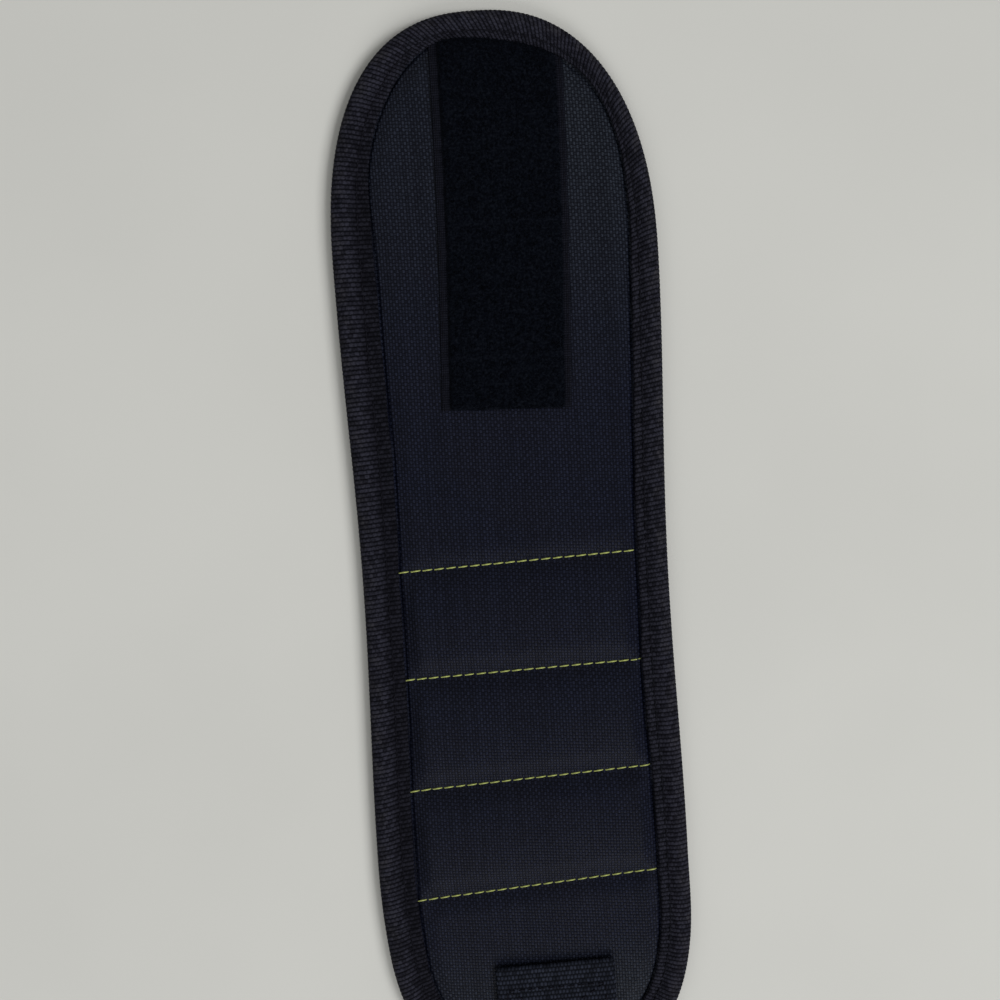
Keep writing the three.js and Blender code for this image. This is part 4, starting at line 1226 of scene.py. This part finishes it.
hookPlan = {"half": 15.0, "start": 300.5, "end": 334.5, "corner": 2.0, "base": 1.0, "top": 1.52, "knit": 0.04,
            "rows": 69, "columns": 61, "fieldHalf": 13.9, "fieldFrom": 1.2, "fieldTo": 1.0, "pitchX": 1.32,
            "pitchS": 1.5, "root": 0.1, "stem": 0.5, "bow": 0.6, "curl": 0.2, "turn": 1.2, "turnSteps": 7,
            "radius": 0.085, "sides": 4, "sharp": 60.0}


def makeHooks():
    # a thin base with rounded corners, and rows of small hooks under it: a stem, then three fifths of a circle
    p = hookPlan
    shift = strapPlan["shift"]
    s = np.linspace(p["start"], p["end"], p["rows"])[:, None]
    toEnd = np.minimum(s - p["start"], p["end"] - s)
    corner = p["corner"] * (1 - rounded(toEnd / p["corner"]))
    x, s = np.broadcast_arrays(np.linspace(-1, 1, p["columns"])[None, :] * (p["half"] - corner), s)
    knit = p["knit"] * np.sin(2 * np.pi * x) * np.sin(2 * np.pi * s)
    base = slab(lay(x + shift, s, p["top"] + 0 * x), lay(x + shift, s, p["base"] + knit), (x, s))
    acrossField = np.arange(-p["fieldHalf"], p["fieldHalf"] + 0.05, p["pitchX"])
    alongField = np.arange(p["start"] + p["fieldFrom"], p["end"] - p["fieldTo"], p["pitchS"])
    hx, hs = np.meshgrid(acrossField, alongField)
    way = np.where(np.arange(hx.shape[1]) % 2 == 0, 1.0, -1.0)[None, :] + 0 * hx
    hx, hs, way = (grid.ravel()[:, None] for grid in (hx, hs, way))
    turn = np.concatenate(([0.0, 0.0], np.linspace(0, p["turn"] * np.pi, p["turnSteps"])))
    down = np.concatenate(([-p["root"], p["stem"] * p["bow"]], p["stem"] + p["curl"] * np.sin(turn[2:])))
    out = p["curl"] * (1 - np.cos(turn))
    paths = lay(hx + shift + 0 * out, hs + way * out, p["base"] - down + 0 * hx)
    hooks = threads(paths, np.tile((1.0, 0.0, 0.0), (len(hx), 1)), p["radius"], p["sides"])
    piece = makePiece("hookPatch", [base, hooks], [hookMaterial], "hook", ["hook_patch"], p["sharp"])
    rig.ride(piece, "strap")


makeHooks()
print("hook patch made")

padPlan = {"half": 25.4, "inset": 3.4, "under": 1.72, "top": 3.55, "ringTop": 3.9, "ringReach": 3.0,
           "pocket": 9.3, "rounded": 2.2, "rimTop": 0.1, "rimLow": 0.4, "underCloth": 0.8, "least": 0.15,
           "around": 96, "rings": 9}


def padPart(middle, side):
    # half a foam strip round one pocket: rings from the pocket's wall out to the strip's oblong edge, rounded
    # there, and kept under the cloth
    p = padPlan
    reachS, inner = rowHalf - p["inset"], p["half"] - magnetAside
    angle = np.linspace(0, 2 * np.pi, p["around"] + 1)[:-1]
    goX, goS = np.cos(angle), np.sin(angle)
    roomX = np.where(goX > 0, inner, magnetAside)
    room = np.minimum(roomX / np.maximum(np.abs(goX), 1e-9), reachS / np.maximum(np.abs(goS), 1e-9))
    radius = mix(p["pocket"], room, np.linspace(0, 1, p["rings"])[:, None])
    x, s = goX * radius, goS * radius
    soft = rounded(np.minimum(reachS - np.abs(s), inner - x) / p["rounded"])
    near = smooth((p["pocket"] + p["ringReach"] - np.hypot(x, s)) / p["ringReach"])
    top = mix(p["top"], p["ringTop"], near)
    centre = (top + p["under"]) / 2
    top, low = mix(centre - p["rimTop"], top, soft), mix(centre - p["rimLow"], p["under"], soft)
    place = side * (x + magnetAside), middle + s
    top = np.maximum(np.minimum(top, clothTop(*place) - p["underCloth"]), low + p["least"])
    count = x.size
    at = np.arange(count).reshape(x.shape)
    after = np.roll(at, -1, axis=1)
    skin = np.stack((at[:-1], at[1:], after[1:], after[:-1]), axis=-1).reshape(-1, 4)
    bore = np.stack((at[0], after[0], after[0] + count, at[0] + count), axis=-1)
    rim = np.stack((after[-1], at[-1], at[-1] + count, after[-1] + count), axis=-1)
    shared = (np.abs(place[0]) < 1e-6)[-1]
    rim = rim[~(shared & np.roll(shared, -1))]
    faces = np.concatenate((skin, skin[:, ::-1] + count, bore, rim))
    points = np.concatenate([lay(*place, height).reshape(-1, 3) for height in (top, low)])
    return points, faces[:, ::-1] if side > 0 else faces


def makePads():
    # two halves for each strip, joined where they meet
    for k, middle in enumerate(rowMiddles):
        (left, leftFaces), (right, rightFaces) = (padPart(middle, side) for side in (-1, 1))
        points, index = np.unique(np.round(np.concatenate((left, right)), 5), axis=0, return_inverse=True)
        faces = index.ravel()[np.concatenate((leftFaces, rightFaces + len(left)))]
        part = {"points": points, "faces": faceOut(points, [faces]), "uv": points[:, :2], "material": 0}
        piece = makePiece(f"foamPad_{k + 1}", [part], [foamMaterial], "foam", [f"pad_row_{k + 1}"])
        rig.ride(piece, f"row_{k + 1}")
        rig.padded(piece, fill=0.7)


def plateMagnets():
    # the six magnets are the frame's own solids
    for name, node in frame["nodes"].items():
        if name.startswith("magnet_"):
            node.data.materials.clear()
            node.data.materials.append(magnetMaterial)
            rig.slot(node, "magnet")


makePads()
plateMagnets()
print("foam pads made, magnets plated")

# the stage is in metres; each lamp has its place, power, size, and whether it shows in the cloth's sheen
floorPlan = {"rough": 0.9, "specular": 0.05, "colour": (0.592, 0.592, 0.562), "shades": (0.98, 1.02),
             "patches": (9.0, 3.0), "size": 3.0, "drop": 0.0002, "fade": (0.4, 1.1), "fallShare": 1.04}
stageSet = {"sky": (0.542, 0.542, 0.516), "light": (1.0, 1.0, 0.98), "world": 0.25, "aim": (0, 0.04, 0),
            "lamps": {"keyLamp": {"place": (1.95, -0.55, 2.35), "power": 62.0, "size": 1.4, "sheen": False},
                      "lowLamp": {"place": (0.4, -2.1, 1.5), "power": 22.0, "size": 1.2, "sheen": True},
                      "sideLamp": {"place": (-1.1, 0.1, 1.2), "power": 3.0, "size": 1.2, "sheen": False}}}


def makeFloor():
    # a plain pale table that fades into the backdrop with distance and is clear from below
    p = floorPlan
    corners = [(a * p["size"], b * p["size"], -p["drop"]) for a, b in ((-1, -1), (1, -1), (1, 1), (-1, 1))]
    mesh = bpy.data.meshes.new("floor")
    mesh.from_pydata(corners, [], [(0, 1, 2, 3)])
    floor = bpy.data.objects.new("floor", mesh)
    scene.collection.objects.link(floor)
    f = Finish("paleTable", p, ownMap=False)
    f.paint(f.blend(f.mottle(*p["patches"]), *(tinted(p["colour"], [shade] * 3) for shade in p["shades"])))
    reach = f.add("ShaderNodeVectorMath", (f.place,), operation="LENGTH").outputs["Value"]
    below = f.add("ShaderNodeNewGeometry").outputs["Backfacing"]
    gone = f.calc("MAXIMUM", f.ramp(reach, *p["fade"]), below)
    f.shaderBlend(gone, f.shader, f.add("ShaderNodeBsdfTransparent"), "Material Output")
    mesh.materials.append(f.material)
    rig.stage(floor)
    standOnFloor(floor)


def standOnFloor(floor):
    # the table's top keeps under the lowest point of the band's edge and strap, so that a wrapped band stands
    # on it
    edges = bpy.data.collections.new("bandEdges")
    for piece in scene.collection.objects:
        if piece.name.startswith(("edgeBinding", "strap")):
            edges.objects.link(piece)
    group = bpy.data.node_groups.new("underTheBand", "GeometryNodeTree")
    for way in ("INPUT", "OUTPUT"):
        group.interface.new_socket("Geometry", in_out=way, socket_type="NodeSocketGeometry")
    g = Nodes(group)
    pieces = g.add("GeometryNodeCollectionInfo", transform_space="RELATIVE")
    g.fill(pieces.inputs["Collection"], edges)
    real = g.add("GeometryNodeRealizeInstances", pieces.outputs[:1])
    lowest = g.add("GeometryNodeBoundBox", real.outputs[:1]).outputs["Min"]
    height = g.add("ShaderNodeSeparateXYZ", (lowest,)).outputs[2]
    fall = g.times(g.calc("MINIMUM", height, 0.0), floorPlan["fallShare"])
    moved = g.add("GeometryNodeSetPosition")
    g.fill(moved.inputs["Geometry"], g.add("NodeGroupInput").outputs[0])
    g.fill(moved.inputs["Offset"], g.add("ShaderNodeCombineXYZ", (0.0, 0.0, fall)).outputs[0])
    g.add("NodeGroupOutput", moved.outputs[:1])
    floor.modifiers.new("underTheBand", "NODES").node_group = group


def makeLight():
    # an even sky that looks like the table to the eye and in mirrors, a broad soft lamp on the right, a low one
    # in front that gives the cloth its sheen, and a weak one on the left
    scene.world = bpy.data.worlds.new("studio")
    scene.world.use_nodes = True
    w = Nodes(scene.world.node_tree)
    light, seen = w.tree.nodes["Background"], w.add("ShaderNodeBackground")
    w.fill(light.inputs["Color"], (*stageSet["light"], 1.0))
    w.fill(light.inputs["Strength"], stageSet["world"])
    w.fill(seen.inputs["Color"], (*stageSet["sky"], 1.0))
    rays = w.add("ShaderNodeLightPath").outputs
    mirrored = w.calc("MAXIMUM", rays["Is Glossy Ray"], rays["Is Transmission Ray"])
    w.shaderBlend(w.calc("MAXIMUM", rays["Is Camera Ray"], mirrored), light, seen, "World Output")
    for name, p in stageSet["lamps"].items():
        lamp = bpy.data.objects.new(name, bpy.data.lights.new(name, "AREA"))
        scene.collection.objects.link(lamp)
        lamp.data.energy, lamp.data.size = p["power"], p["size"]
        lamp.visible_glossy = p["sheen"]
        lamp.location = p["place"]
        lamp.rotation_mode = "QUATERNION"
        lamp.rotation_quaternion = (Vector(stageSet["aim"]) - lamp.location).to_track_quat("-Z", "Y")


makeFloor()
makeLight()
scene.view_settings.view_transform = "Standard"
print("stage set")

low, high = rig.bounds()
with open("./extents.json", "w") as sizes:
    json.dump({"cad": [list(cadLow), list(cadHigh)], "visual": [list(low), list(high)]}, sizes)
print("size written")
